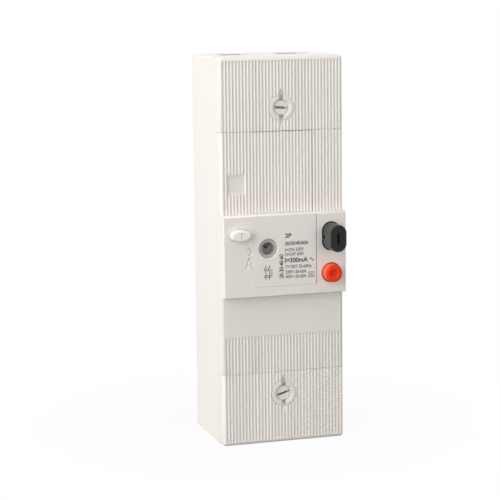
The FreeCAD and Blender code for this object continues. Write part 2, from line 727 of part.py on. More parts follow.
def selector_tube():
    """Tube behind the panel that the selector snaps into."""
    outer = SELECTOR_FLANGE + 2 * SHAFT_FIT + 2 * SELECTOR_TUBE_WALL
    back = SELECTOR_FLANGE_END + SELECTOR_LIP
    return rod_y(outer, SELECTOR_X, (PANEL_INSIDE - PANEL_WALL / 2, back), SELECTOR_Z)


def main_cover_openings():
    """Cutters for the buttons, the selector, the label, the setting cover and the screws."""
    through = (PANEL, PANEL_INSIDE)
    gap = 2 * BUTTON_GAP
    test_gap = 2 * TEST_GAP
    label = around(0, LABEL_WIDTH + 2 * LABEL_GAP)
    label_z = (LABEL_BOTTOM - LABEL_GAP, LABEL_TOP + LABEL_GAP)
    sunk = LABEL_THICKNESS - LABEL_RISE
    lip = SELECTOR_FLANGE - 2 * SELECTOR_LIP
    cutters = [
        stadium(ON_WIDTH + gap, ON_HEIGHT + gap, BUTTON_X, through, ON_Z),
        rod_y(OFF_DIAMETER + gap, BUTTON_X, through, OFF_Z),
        oval(TEST_WIDTH + test_gap, TEST_HEIGHT + test_gap, TEST_X, through, TEST_Z),
        block(label, (PANEL, PANEL + sunk), label_z),
        rod_y(SELECTOR_MOUTH, SELECTOR_X, (PANEL, SELECTOR_TUBE_END), SELECTOR_Z),
        rod_y(
            SELECTOR_FLANGE + 2 * SHAFT_FIT,
            SELECTOR_X,
            (SELECTOR_TUBE_END, SELECTOR_FLANGE_END),
            SELECTOR_Z,
        ),
        rod_y(lip, SELECTOR_X, (SELECTOR_FLANGE_END, SELECTOR_FLANGE_END + SELECTOR_LIP), SELECTOR_Z),
    ]
    insert_z = (PANEL_TOP, SEAM)
    cutters.append(block((-INSERT_HALF, INSERT_HALF), (FACE, FACE + INSERT_THICKNESS), insert_z))
    window_x = around(0, 2 * (INSERT_HALF - INSERT_LEDGE))
    window_z = (PANEL_TOP + INSERT_LEDGE, SEAM - SEAM_WALL - INSERT_LEDGE)
    cutters.append(block(window_x, (FACE, FACE_INSIDE), window_z))
    pilot = (PILLAR_END - HOUSING_SCREW_LENGTH, PILLAR_END)
    for x in (-SCREW_X, SCREW_X):
        for z in (-SCREW_Z, SCREW_Z):
            cutters.append(rod_y(HOUSING_SCREW + 2 * SHAFT_FIT, x, pilot, z))
    return cutters


def terminal_cover():
    """Upper terminal cover: ribs, screw well, sealing-wire ramps and boss."""
    z = (SEAM + SEAM_GAP / 2, END)
    skirt = RIM - PARTING_GAP
    shell = rounded_front((-SIDE, SIDE), (FACE, skirt), z, SIDE_ROUND, 0, END_ROUND)
    room = block((-SIDE_INSIDE, SIDE_INSIDE), (FACE_INSIDE, skirt), (z[0] + SEAM_WALL, END_INSIDE))
    shell = shell.cut([room] + grooves(1 - GROOVES, GROOVES, (z[0], END - RIB_END), FACE))
    boss = rod_y(2 * (RAMP_FLAT + SEAL_BOSS_WALL), 0, (FACE_INSIDE, SEAL_BOSS_END), SEAL_Z)
    pad = rod_y(SEAL_RING, 0, (FACE, FACE_INSIDE), SEAL_Z)
    shell = join(shell, [boss, pad])
    return shell.cut(seal_cutters()).removeSplitter()


def seal_cutters():
    """Ring groove, dish, well, key hole and wire ramps round a sealing screw."""
    ring = (FACE, FACE + SEAL_RING_DEPTH)
    groove = rod_y(SEAL_RING, 0, ring, SEAL_Z).cut(rod_y(SEAL_RING - 2 * SEAL_RING_GROOVE, 0, ring, SEAL_Z))
    deep = FACE + RAMP_DEPTH
    cutters = [
        groove,
        rod_y(SEAL_DISH, 0, (FACE, FACE + SEAL_DISH_DEPTH), SEAL_Z),
        rod_y(SEAL_WELL, 0, (FACE, SEAL_FLOOR), SEAL_Z),
        keyhole((SEAL_FLOOR, SEAL_BOSS_END), SEAL_Z, 90),
    ]
    for side in (-1, 1):
        near = SEAL_Z + side * SEAL_HEAD / 2
        far = SEAL_Z + side * RAMP_LENGTH
        flat = SEAL_Z + side * RAMP_FLAT
        outline = [(FACE, near), (FACE, far), (deep, flat), (deep, near)]
        cutters.append(prism_x(outline, around(0, RAMP_WIDTH)))
    return cutters


def setting_cover():
    """Ribbed insert above the panel, held by two clips behind its ledge."""
    x = (INSERT_FIT - INSERT_HALF, INSERT_HALF - INSERT_PLAY)
    z = (PANEL_TOP + INSERT_FIT, SEAM - SEAM_GAP / 2 - INSERT_PLAY)
    half = int(INSERT_RIB_COUNT / 2)
    plate = block(x, (FACE, FACE + INSERT_THICKNESS), z).cut(grooves(-half, half + 1, z, FACE))
    window_z = (PANEL_TOP + INSERT_LEDGE, SEAM - SEAM_WALL - INSERT_LEDGE)
    clips = [clip(window_z[0] + FIT, 1), clip(window_z[1] - FIT, -1)]
    return join(plate, clips)


def clip(edge, inward):
    """Snap clip behind the insert, with its barb under the ledge."""
    root = FACE + INSERT_THICKNESS - CLIP_THICKNESS / 2
    catch = FACE_INSIDE + FIT
    inner = edge + inward * CLIP_THICKNESS
    outline = [
        (root, edge),
        (catch, edge),
        (catch, edge - inward * CLIP_BARB),
        (catch + 2 * CLIP_BARB, edge),
        (catch + 2 * CLIP_BARB, inner),
        (root, inner),
    ]
    return prism_x(outline, around(0, CLIP_WIDTH))


def label_plate():
    """Thin plate on the panel, with the mouth of the selector through it."""
    back = PANEL + LABEL_THICKNESS - LABEL_RISE
    plate = block(around(0, LABEL_WIDTH), (PANEL - LABEL_RISE, back), (LABEL_BOTTOM, LABEL_TOP))
    front = PANEL - LABEL_RISE
    bevel = (front, front + SELECTOR_BEVEL)
    mouth = rod_y(SELECTOR_MOUTH, SELECTOR_X, (front, back), SELECTOR_Z)
    rim = cone_y(SELECTOR_MOUTH + 2 * SELECTOR_BEVEL, SELECTOR_MOUTH, SELECTOR_X, bevel, SELECTOR_Z)
    return plate.cut([mouth, rim])


def on_button():
    """Tall oblong button: dished cap, stop flange and the stem with the slot for the crank pin."""
    front = PANEL - ON_RISE
    cap = stadium(ON_WIDTH, ON_HEIGHT, BUTTON_X, (front, FLANGE_FRONT), ON_Z)
    rim = [edge for edge in cap.Edges if edge.BoundBox.YMax < front + 1e-6]
    cap = cap.makeFillet(ON_ROUND, rim)
    reach = 2 * (BUTTON_GAP + FLANGE_LIP)
    flange = stadium(
        ON_WIDTH + reach,
        ON_HEIGHT + reach,
        BUTTON_X,
        (FLANGE_FRONT, FLANGE_BACK),
        ON_Z,
    )
    stem_x = around(BUTTON_X, ON_STEM_WIDTH)
    stem = block(stem_x, (FLANGE_BACK, STEM_END), around(ON_Z, ON_STEM_HEIGHT))
    dish = stadium(
        ON_WIDTH - 2 * ON_DISH_RIM,
        ON_HEIGHT - 2 * ON_DISH_RIM,
        BUTTON_X,
        (front, front + ON_DISH_DEPTH),
        ON_Z,
    )
    wire_hole = rod_x(ON_SEAL_HOLE, around(BUTTON_X, ON_WIDTH), PANEL - ON_SEAL_HOLE_RISE, ON_Z)
    radius = math.hypot(ON_TRAVEL / 2, CRANK_HEIGHT)
    lift = radius - CRANK_HEIGHT
    slot_z = (ON_Z - CRANK_PIN / 2 - SLIDE_FIT, ON_Z + CRANK_PIN / 2 + lift + SLIDE_FIT)
    slot = block(stem_x, around(PIN_Y, CRANK_PIN + 2 * FIT), slot_z)
    return join(cap, [flange, stem]).cut([dish, wire_hole, slot])


def off_button():
    """Round button: dished cap, stop flange and a stem with a tapered end."""
    front = PANEL - OFF_RISE
    cap = rod_y(OFF_DIAMETER, BUTTON_X, (front, FLANGE_FRONT), OFF_Z)
    rim = [edge for edge in cap.Edges if edge.BoundBox.YMax < front + 1e-6]
    cap = cap.makeFillet(OFF_ROUND, rim)
    reach = 2 * (BUTTON_GAP + FLANGE_LIP)
    flange = rod_y(OFF_DIAMETER + reach, BUTTON_X, (FLANGE_FRONT, FLANGE_BACK), OFF_Z)
    tip = OFF_ARM_FRONT - OFF_ARM_GAP
    shoulder = tip - OFF_STEM / 2
    stem = rod_y(OFF_STEM, BUTTON_X, (FLANGE_BACK, shoulder), OFF_Z)
    end = cone_y(OFF_STEM, OFF_TIP, BUTTON_X, (shoulder, tip), OFF_Z)
    dish = cone_y(OFF_DISH, OFF_DISH - OFF_ROUND, BUTTON_X, (front, front + OFF_DISH_DEPTH), OFF_Z)
    return join(cap, [flange, stem, end]).cut(dish)


def test_button():
    """Low oval button with its stop flange and stem."""
    front = PANEL - TEST_RISE
    cap = oval(TEST_WIDTH, TEST_HEIGHT, TEST_X, (front, FLANGE_FRONT), TEST_Z)
    rim = [edge for edge in cap.Edges if edge.BoundBox.YMax < front + 1e-6]
    cap = cap.makeFillet(TEST_ROUND, rim)
    reach = 2 * (TEST_GAP + FLANGE_LIP)
    flange = oval(TEST_WIDTH + reach, TEST_HEIGHT + reach, TEST_X, (FLANGE_FRONT, FLANGE_BACK), TEST_Z)
    stem = rod_y(TEST_STEM, TEST_X, (FLANGE_BACK, BRIDGE_BACK - BLADE), TEST_Z)
    return join(cap, [flange, stem])


def test_bridge():
    """Contact plate on the end of the test button's stem."""
    x = around(TEST_X, TEST_BRIDGE_LENGTH)
    return block(x, (BRIDGE_BACK - BLADE, BRIDGE_BACK), around(TEST_Z, TEST_BRIDGE_WIDTH))


def test_contacts():
    """Two blades on their shelf, which the bridge joins."""
    blades = []
    for side in (-1, 1):
        x = around(TEST_X + side * (TEST_BRIDGE_LENGTH - BLADE_WIDTH) / 2, BLADE_WIDTH)
        blades.append(block(x, (BLADE_FRONT, BLADE_SHELF), around(TEST_Z, BLADE_LENGTH)))
    return group(blades)


def test_resistor():
    """Axial resistor behind the shelf of the test contacts."""
    y = BLADE_SHELF + SHELF + FIT + RESISTOR_DIAMETER / 2
    body = rod_z(RESISTOR_DIAMETER, TEST_X, y, around(TEST_Z, RESISTOR_LENGTH))
    leads = around(TEST_Z, RESISTOR_LENGTH + 2 * RESISTOR_LEAD_LENGTH)
    return join(body, [rod_z(RESISTOR_LEAD, TEST_X, y, leads)])


def selector_dial():
    """Dial of the rating selector: cup with an arrow slot, snap flange, shaft and cam."""
    flange = (SELECTOR_TUBE_END + FIT, SELECTOR_TUBE_END + FIT + SELECTOR_FLANGE_THICKNESS)
    shaft = (flange[1], flange[1] + SELECTOR_SHAFT_LENGTH)
    body_y = (SELECTOR_FACE, flange[0])
    body = rod_y(SELECTOR_MOUTH - 2 * SHAFT_FIT, SELECTOR_X, body_y, SELECTOR_Z)
    cam = rod_y(CAM_DIAMETER, SELECTOR_X, (shaft[1] - CAM_LENGTH, shaft[1]), SELECTOR_Z + CAM_OFFSET)
    dial = join(
        body,
        [
            rod_y(SELECTOR_FLANGE, SELECTOR_X, flange, SELECTOR_Z),
            rod_y(SELECTOR_SHAFT, SELECTOR_X, shaft, SELECTOR_Z),
            cam,
        ],
    )
    cup = rod_y(SELECTOR_CUP, SELECTOR_X, (SELECTOR_FACE, SELECTOR_CUP_FLOOR), SELECTOR_Z)
    point = SELECTOR_CUP / 2 - ARROW_EDGE
    neck = point - ARROW_HEAD / 2
    arrow = [
        (0, point),
        (ARROW_HEAD / 2, neck),
        (ARROW_SHAFT / 2, neck),
        (ARROW_SHAFT / 2, -ARROW_TAIL),
        (-ARROW_SHAFT / 2, -ARROW_TAIL),
        (-ARROW_SHAFT / 2, neck),
        (-ARROW_HEAD / 2, neck),
    ]
    slot = prism_y(arrow, (SELECTOR_CUP_FLOOR, SELECTOR_CUP_FLOOR + ARROW_DEPTH))
    slot.rotate(V(0, 0, 0), V(0, 1, 0), -ARROW_ANGLE)
    slot.translate(V(SELECTOR_X, 0, SELECTOR_Z))
    return dial.cut([cup, slot])


def sealing_screw(z, angle):
    """Slotted quarter-turn screw with its cross key, its slot turned off the horizontal."""
    head = (SEAL_HEAD_FRONT, SEAL_HEAD_FRONT + SEAL_HEAD_THICKNESS)
    key = (LEDGE_BACK + FIT, LEDGE_BACK + FIT + KEY_THICKNESS)
    screw = join(
        rod_y(SEAL_HEAD, 0, head, z),
        [
            rod_y(SEAL_SHANK, 0, (head[1], key[1]), z),
            block(around(0, KEY_LENGTH), key, around(z, KEY_WIDTH)),
        ],
    )
    slot_y = (SEAL_HEAD_FRONT, SEAL_HEAD_FRONT + SEAL_SLOT_DEPTH)
    screw = screw.cut(block(around(0, SEAL_HEAD), slot_y, around(z, SEAL_SLOT_WIDTH)))
    return screw.rotated(V(0, 0, z), V(0, 1, 0), -angle)


def housing_screws():
    """Four screws from the back into the pillars of the main cover."""
    screws = []
    for x in (-SCREW_X, SCREW_X):
        for z in (-SCREW_Z, SCREW_Z):
            head = rod_y(HOUSING_SCREW_HEAD, x, (-HOUSING_HEAD_THICKNESS - FIT, -FIT), z)
            shank = (-HOUSING_SCREW_LENGTH - HOUSING_HEAD_THICKNESS, -HOUSING_HEAD_THICKNESS)
            screws.append(join(head, [rod_y(HOUSING_SCREW, x, shank, z)]))
    return group(screws)


def terminal(side, end):
    """Tunnel terminal with its cable bore and clamping thread; load blocks also take the conductor."""
    x = side * TERMINAL_X
    mouth = end * BLOCK_OUTER
    z = sorted((mouth, end * BLOCK_INNER))
    body = block(around(x, TERMINAL_WIDTH), (STRAP_FRONT - TERMINAL_DEPTH, STRAP_FRONT), z)
    cutters = [
        rod_z(BORE, x, BORE_Y, sorted((mouth, mouth - end * BORE_DEPTH))),
        rod_y(CLAMP_SCREW + 2 * SHAFT_FIT, x, (STRAP_FRONT - TERMINAL_DEPTH, BORE_Y), clamp_z(end)),
    ]
    if end < 0:
        socket = CONDUCTOR + 2 * SHAFT_FIT
        depth = (-BLOCK_INNER - CONDUCTOR_SOCKET, -BLOCK_INNER)
        cutters.append(block(around(x, socket), around(BORE_Y, socket), depth))
    return body.cut(cutters)


def clamp_z(end):
    return end * (BLOCK_OUTER - BORE_DEPTH / 2)


def terminal_screws():
    """Four slotted clamping screws, drawn back to the wall of the bore."""
    screws = []
    back = BORE_Y - BORE / 2 - FIT
    front = back - CLAMP_SCREW_LENGTH
    for end in (-1, 1):
        for side in (-1, 1):
            x = side * TERMINAL_X
            z = clamp_z(end)
            slot = block(around(x, CLAMP_SCREW), (front, front + CLAMP_SLOT), around(z, CLAMP_SLOT))
            screws.append(rod_y(CLAMP_SCREW, x, (front, back), z).cut(slot))
    return group(screws)


def line_strap(pole):
    """Flat bar from behind the line terminal to the fixed contact."""
    bottom = AXLE_Z + ARM_LENGTH - TIP_INSET - TIP - TIP_INSET
    z = (bottom, BLOCK_INNER + STRAP_OVERLAP)
    return block(around(pole, STRAP_WIDTH), (STRAP_FRONT, STRAP_BACK), z)


def fixed_contact_tips():
    tip_z = (AXLE_Z + ARM_LENGTH - TIP_INSET - TIP, AXLE_Z + ARM_LENGTH - TIP_INSET)
    y = (STRAP_FRONT - TIP_THICKNESS, STRAP_FRONT)
    return group(block(around(pole, TIP), y, tip_z) for pole in (POLE_LEFT, POLE_RIGHT))


def open_pose(shape):
    """From the closed pose, in which the moving contacts are drawn, to the open one."""
    return turned(shape, AXLE_Y, AXLE_Z, SWING)


def contact_carrier():
    """Insulating bar on its axle, with a holder for each contact arm, the crank and its pin."""
    bar = rod_x(HUB, (-BEARING_X + SLIDE_FIT, CRANK_RIGHT), AXLE_Y, AXLE_Z)
    holders = []
    pockets = []
    pocket_front = AXLE_Y - ARM_THICKNESS / 2 - FIT
    for pole in (POLE_LEFT, POLE_RIGHT):
        x = around(pole, HOLDER_WIDTH)
        holder_back = AXLE_Y + ARM_THICKNESS / 2
        outline = [
            (AXLE_Y - HUB / 2, AXLE_Z),
            (AXLE_Y - HOLDER_FRONT, AXLE_Z + HOLDER_FRONT),
            (AXLE_Y - HOLDER_FRONT, AXLE_Z + HOLDER_TOP),
            (holder_back, AXLE_Z + HOLDER_TOP),
            (holder_back, AXLE_Z),
        ]
        holders.append(prism_x(outline, x))
        pocket_z = (AXLE_Z + ARM_FOOT - FIT, AXLE_Z + HOLDER_TOP)
        pocket_x = around(pole, ARM_WIDTH + 2 * HOLDER_POCKET)
        pockets.append(block(pocket_x, (pocket_front, holder_back), pocket_z))
        well = (pocket_front - CONTACT_SPRING_LENGTH, pocket_front)
        pockets.append(rod_y(CONTACT_SPRING + 4 * SLIDE_FIT, pole, well, contact_spring_z()))
    turn = SWING / 2
    crank = prism_x(
        [
            (AXLE_Y - HUB / 2, AXLE_Z),
            (AXLE_Y - CRANK_END / 2, AXLE_Z + CRANK_HEIGHT),
            (AXLE_Y + CRANK_END / 2, AXLE_Z + CRANK_HEIGHT),
            (AXLE_Y + HUB / 2, AXLE_Z),
        ],
        (CRANK_LEFT, CRANK_RIGHT),
    )
    radius = math.hypot(ON_TRAVEL / 2, CRANK_HEIGHT)
    eye = rod_x(CRANK_END, (CRANK_LEFT, CRANK_RIGHT), AXLE_Y, AXLE_Z + radius)
    pin_end = BUTTON_X + ON_STEM_WIDTH / 2
    pin = rod_x(CRANK_PIN, (CRANK_LEFT, pin_end), AXLE_Y, AXLE_Z + radius)
    arm = turned(join(crank, [eye, pin]), AXLE_Y, AXLE_Z, -turn)
    bore = rod_x(AXLE + 2 * SHAFT_FIT, (-SIDE, SIDE), AXLE_Y, AXLE_Z)
    carrier = join(bar, holders + [arm]).cut(pockets + [bore])
    return open_pose(carrier)


def contact_spring_z():
    return AXLE_Z + (ARM_FOOT + HOLDER_TOP) / 2


def contact_arm(pole):
    """Copper arm that stands in its holder, tapered towards the contact."""
    foot = AXLE_Z + ARM_FOOT
    outline = [
        (pole - ARM_WIDTH / 2, foot),
        (pole + ARM_WIDTH / 2, foot),
        (pole + ARM_WIDTH / 2, AXLE_Z + HOLDER_TOP),
        (pole + TIP / 2, AXLE_Z + ARM_LENGTH),
        (pole - TIP / 2, AXLE_Z + ARM_LENGTH),
        (pole - ARM_WIDTH / 2, AXLE_Z + HOLDER_TOP),
    ]
    return open_pose(prism_y(outline, around(AXLE_Y, ARM_THICKNESS)))


def moving_contact_tips():
    tip_z = (AXLE_Z + ARM_LENGTH - TIP_INSET - TIP, AXLE_Z + ARM_LENGTH - TIP_INSET)
    back = AXLE_Y + ARM_THICKNESS / 2
    tips = [
        block(around(pole, TIP), (back, back + TIP_THICKNESS), tip_z)
        for pole in (POLE_LEFT, POLE_RIGHT)
    ]
    return open_pose(group(tips))


def contact_springs():
    """Springs between the holders and the arms."""
    back = AXLE_Y - ARM_THICKNESS / 2
    springs = [
        coil(
            CONTACT_SPRING,
            CONTACT_SPRING_WIRE,
            CONTACT_SPRING_LENGTH,
            CONTACT_SPRING_TURNS,
            V(pole, back - FIT / 2, contact_spring_z()),
            V(0, -1, 0),
        )
        for pole in (POLE_LEFT, POLE_RIGHT)
    ]
    return open_pose(group(springs))


def carrier_axle():
    end = BEARING_X + BEARING_WALL - 2 * FIT
    return rod_x(AXLE, (-end, end), AXLE_Y, AXLE_Z)


def flexible_braid(pole):
    """Woven strip from the back of the open arm to the trip bracket."""
    angle = math.radians(SWING)
    reach = (ARM_FOOT + HOLDER_TOP) / 2
    gap = ARM_THICKNESS / 2 + FIT
    start_y = AXLE_Y + gap * math.cos(angle) - reach * math.sin(angle)
    start_z = AXLE_Z + gap * math.sin(angle) + reach * math.cos(angle)
    middle = -BRAID_BACK - BRAID_THICKNESS / 2
    x = pole - BRAID_WIDTH / 2
    points = [
        V(x, start_y, start_z),
        V(x, middle, start_z + (middle - start_y) * math.tan(angle)),
        V(x, middle, BRACKET_Z + BRACKET_THICKNESS + FIT),
    ]
    strip = thick_path(rounded_path(points, BRAID_BEND), BRAID_THICKNESS)
    return strip.extrude(V(BRAID_WIDTH, 0, 0))


def arc_chute_cheeks():
    """Four insulating side boards, two round each stack of splitter plates."""
    cheeks = []
    y = (STRAP_FRONT - CHUTE_DEPTH, BACK_INSIDE - FIT)
    z = (CHUTE_BOTTOM, CHUTE_BOTTOM + CHUTE_HEIGHT)
    for pole in (POLE_LEFT, POLE_RIGHT):
        for side in (-1, 1):
            inner = pole + side * CHUTE_WIDTH / 2
            cheeks.append(block(sorted((inner, inner + side * CHEEK)), y, z))
    return group(cheeks)


def arc_plates(pole):
    """Steel splitter plates, each notched above the contacts."""
    half = CHUTE_WIDTH / 2 - FIT / 2
    top = CHUTE_BOTTOM + CHUTE_HEIGHT
    outline = [
        (pole - half, CHUTE_BOTTOM),
        (pole - PLATE_NOTCH_WIDTH / 2, CHUTE_BOTTOM),
        (pole, CHUTE_BOTTOM + PLATE_NOTCH_HEIGHT),
        (pole + PLATE_NOTCH_WIDTH / 2, CHUTE_BOTTOM),
        (pole + half, CHUTE_BOTTOM),
        (pole + half, top),
        (pole - half, top),
    ]
    pitch = CHUTE_DEPTH / PLATE_COUNT
    first = STRAP_FRONT - CHUTE_DEPTH + (pitch - PLATE_THICKNESS) / 2
    plates = []
    for number in range(PLATE_COUNT):
        front = first + number * pitch
        plates.append(prism_y(outline, (front, front + PLATE_THICKNESS)))
    return group(plates)


def trip_bar():
    """Bar across both poles: latch hook, OFF arm, two bimetal fingers and the relay finger."""
    end = BEARING_X - SLIDE_FIT
    bar = rod_x(TRIP_HUB, (-end, end), TRIP_Y, TRIP_Z)
    hook_top = ON_Z - ON_STEM_HEIGHT / 2 - HOOK_GAP
    hook = prism_x(
        [
            (TRIP_Y, TRIP_Z + TRIP_HUB / 2),
            (TRIP_Y - HOOK_LENGTH + HOOK_THICKNESS, TRIP_Z + TRIP_HUB / 2),
            (TRIP_Y - HOOK_LENGTH + HOOK_THICKNESS, hook_top),
            (TRIP_Y - HOOK_LENGTH, hook_top - HOOK_THICKNESS / 2),
            (TRIP_Y - HOOK_LENGTH, TRIP_Z),
            (TRIP_Y, TRIP_Z - TRIP_HUB / 2),
        ],
        around(BUTTON_X, HOOK_WIDTH),
    )
    off_arm = block(
        around(BUTTON_X, OFF_ARM_WIDTH),
        (OFF_ARM_FRONT, TRIP_Y),
        (OFF_Z - OFF_ARM_TAIL, TRIP_Z),
    )
    fingers = [
        block(
            around(pole, FINGER_WIDTH),
            (FINGER_FRONT, FINGER_FRONT + FINGER_THICKNESS),
            (TRIP_Z - FINGER_LENGTH, TRIP_Z),
        )
        for pole in (POLE_LEFT, POLE_RIGHT)
    ]
    relay_finger = block(
        around(RELAY_X, RELAY_FINGER_WIDTH),
        (TRIP_Y, TRIP_Y + RELAY_FINGER_LENGTH),
        relay_finger_z(),
    )
    bore = rod_x(TRIP_AXLE + 2 * SHAFT_FIT, (-SIDE, SIDE), TRIP_Y, TRIP_Z)
    return join(bar, [hook, off_arm, relay_finger] + fingers).cut(bore)


def relay_finger_z():
    bottom = TRIP_Z - TRIP_HUB / 2
    return (bottom, bottom + RELAY_FINGER_THICKNESS)


def trip_bar_axle():
    end = BEARING_X + BEARING_WALL - 2 * FIT
    return rod_x(TRIP_AXLE, (-end, end), TRIP_Y, TRIP_Z)


def trip_bracket(pole):
    """Copper bracket from its seat on the floor to the foot of the bimetal."""
    x = around(pole, BRACKET_WIDTH)
    seat = BACK_INSIDE - BRACKET_SEAT
    flange_back = BIMETAL_BACK + YOKE_BACK + BRACKET_FLANGE
    leg = block(x, (BIMETAL_BACK + YOKE_BACK, seat), (BRACKET_Z, BRACKET_Z + BRACKET_THICKNESS))
    foot = block(x, (seat - BRACKET_FLANGE, seat), (BRACKET_Z, BRACKET_Z + BRACKET_FOOT))
    flange_top = YOKE_Z + YOKE_HEIGHT
    flange = block(x, (BIMETAL_BACK + YOKE_BACK, flange_back), (BRACKET_Z, flange_top))
    pad_z = (BRACKET_Z, BRACKET_Z + BRACKET_FOOT)
    pad = block(around(pole, BIMETAL_WIDTH), (BIMETAL_BACK, flange_back), pad_z)
    return join(leg, [foot, flange, pad])


def bimetal(pole):
    y = (BIMETAL_BACK - BIMETAL_THICKNESS, BIMETAL_BACK)
    return block(around(pole, BIMETAL_WIDTH), y, (BRACKET_Z, BIMETAL_TOP))


def magnet_yoke(pole):
    """Steel channel round the bimetal, with two lugs for the armature's pin."""
    back = BIMETAL_BACK + YOKE_BACK
    top = YOKE_Z + YOKE_HEIGHT
    wide = around(pole, YOKE_INSIDE + 2 * YOKE_THICKNESS)
    channel = block(wide, (POLE_FACE, back), (YOKE_Z, top))
    inner = block(around(pole, YOKE_INSIDE), (POLE_FACE, BIMETAL_BACK + FIT), (YOKE_Z, top))
    channel = channel.cut(inner)
    lug_z = (YOKE_Z - LUG_HEIGHT, YOKE_Z)
    lug_y = (ARMATURE_Y - ARMATURE_BARREL / 2, back)
    lugs = []
    for side in (-1, 1):
        x = sorted((pole + side * YOKE_INSIDE / 2, pole + side * (YOKE_INSIDE / 2 + YOKE_THICKNESS)))
        lugs.append(block(x, lug_y, lug_z))
    hole = rod_x(ARMATURE_PIN + 2 * SHAFT_FIT, wide, ARMATURE_Y, ARMATURE_Z)
    return join(channel, lugs).cut(hole)


def armature(pole):
    """Steel flap on a pin in front of the yoke, with two tabs towards the trip bar."""
    y = (ARMATURE_BACK - ARMATURE_THICKNESS, ARMATURE_BACK)
    narrow = YOKE_INSIDE - 2 * HOLDER_POCKET
    neck = block(around(pole, narrow), y, (ARMATURE_Z, YOKE_Z + FIT))
    plate = block(around(pole, ARMATURE_WIDTH), y, (YOKE_Z + SLIDE_FIT, ARMATURE_TOP))
    link = block(around(pole, narrow), y, (YOKE_Z, YOKE_Z + 2 * SLIDE_FIT))
    barrel = rod_x(ARMATURE_BARREL, around(pole, narrow), ARMATURE_Y, ARMATURE_Z)
    tabs = []
    for side in (-1, 1):
        edge = pole + side * ARMATURE_WIDTH / 2
        x = sorted((edge, edge - side * ARMATURE_TAB))
        tab_y = (ARMATURE_BACK, FINGER_FRONT - ARMATURE_STROKE)
        tabs.append(block(x, tab_y, (ARMATURE_TOP - ARMATURE_THICKNESS, ARMATURE_TOP)))
    bore = rod_x(ARMATURE_PIN + 2 * SHAFT_FIT, around(pole, narrow), ARMATURE_Y, ARMATURE_Z)
    return join(plate, [neck, link, barrel] + tabs).cut(bore)


def armature_pins():
    length = YOKE_INSIDE + 2 * YOKE_THICKNESS
    return group(
        rod_x(ARMATURE_PIN, around(pole, length), ARMATURE_Y, ARMATURE_Z)
        for pole in (POLE_LEFT, POLE_RIGHT)
    )


def toroid_core():
    z = (WINDING_BOTTOM + WINDING_THICKNESS, WINDING_TOP - WINDING_THICKNESS)
    return rod_z(CORE_OUTER, 0, BORE_Y, z).cut(rod_z(CORE_INNER, 0, BORE_Y, z))


def secondary_winding():
    """Wound sleeve round most of the core."""
    low = WINDING_BOTTOM
    section = Part.makePolygon(
        [
            V(CORE_INNER / 2 - WINDING_THICKNESS, BORE_Y, low),
            V(CORE_OUTER / 2 + WINDING_THICKNESS, BORE_Y, low),
            V(CORE_OUTER / 2 + WINDING_THICKNESS, BORE_Y, WINDING_TOP),
            V(CORE_INNER / 2 - WINDING_THICKNESS, BORE_Y, WINDING_TOP),
            V(CORE_INNER / 2 - WINDING_THICKNESS, BORE_Y, low),
        ]
    )
    sleeve = Part.Face(section).revolve(V(0, BORE_Y, 0), V(0, 0, 1), WINDING_ANGLE)
    sleeve.rotate(V(0, BORE_Y, 0), V(0, 0, 1), 90 + (360 - WINDING_ANGLE) / 2)
    z = (WINDING_BOTTOM + WINDING_THICKNESS - SHAFT_FIT, WINDING_TOP - WINDING_THICKNESS + SHAFT_FIT)
    room = rod_z(CORE_OUTER + 2 * SHAFT_FIT, 0, BORE_Y, z)
    return sleeve.cut(room.cut(rod_z(CORE_INNER - 2 * SHAFT_FIT, 0, BORE_Y, z)))


def sensing_leads():
    """Two leads from the winding up to the relay."""
    y = BORE_Y - (CORE_OUTER + CORE_INNER) / 4
    z = (WINDING_TOP + FIT, BRACKET_Z - FIT)
    return group(rod_z(LEAD, RELAY_X + side * LEAD_SPACING / 2, y, z) for side in (-1, 1))


def trip_relay():
    """Sealed relay that stands on the floor between the trip brackets."""
    x = (POLE_LEFT + BRACKET_WIDTH / 2 + RELAY_GAP, POLE_RIGHT - BRACKET_WIDTH / 2 - RELAY_GAP)
    y = (BACK_INSIDE - FIT - RELAY_DEPTH, BACK_INSIDE - FIT)
    body = block(x, y, (BRACKET_Z, RELAY_Z))
    corners = [edge for edge in body.Edges if along(edge, "z")]
    body = body.makeFillet(RELAY_ROUND, corners)
    return body.cut(rod_z(PLUNGER + 2 * SHAFT_FIT, RELAY_X, RELAY_Y, (RELAY_Z - PLUNGER_SEAT, RELAY_Z)))


def relay_plunger():
    top = relay_finger_z()[0] - PLUNGER_STROKE - 2 * FIT
    return rod_z(PLUNGER, RELAY_X, RELAY_Y, (RELAY_Z - PLUNGER_SEAT + FIT, top))


def load_conductor(side, pole):
    """Square copper bar from the trip bracket through the toroid to the load terminal."""
    middle = side * CONDUCTOR_SPACING / 2
    points = [
        V(pole, BORE_Y, BRACKET_Z),
        V(pole, BORE_Y, BRACKET_Z - CONDUCTOR_STRAIGHT),
        V(middle, BORE_Y, WINDING_TOP + CONDUCTOR_LEAD_IN),
        V(middle, BORE_Y, -SEAM - SEAM_WALL - CONDUCTOR_LEAD_IN),
        V(side * TERMINAL_X, BORE_Y, CONDUCTOR_SOCKET - BLOCK_INNER),
        V(side * TERMINAL_X, BORE_Y, FIT - BLOCK_INNER - CONDUCTOR_SOCKET),
    ]
    bar = thick_path(rounded_path(points, CONDUCTOR_BEND), CONDUCTOR)
    bar.translate(V(0, -CONDUCTOR / 2, 0))
    return bar.extrude(V(0, CONDUCTOR, 0))


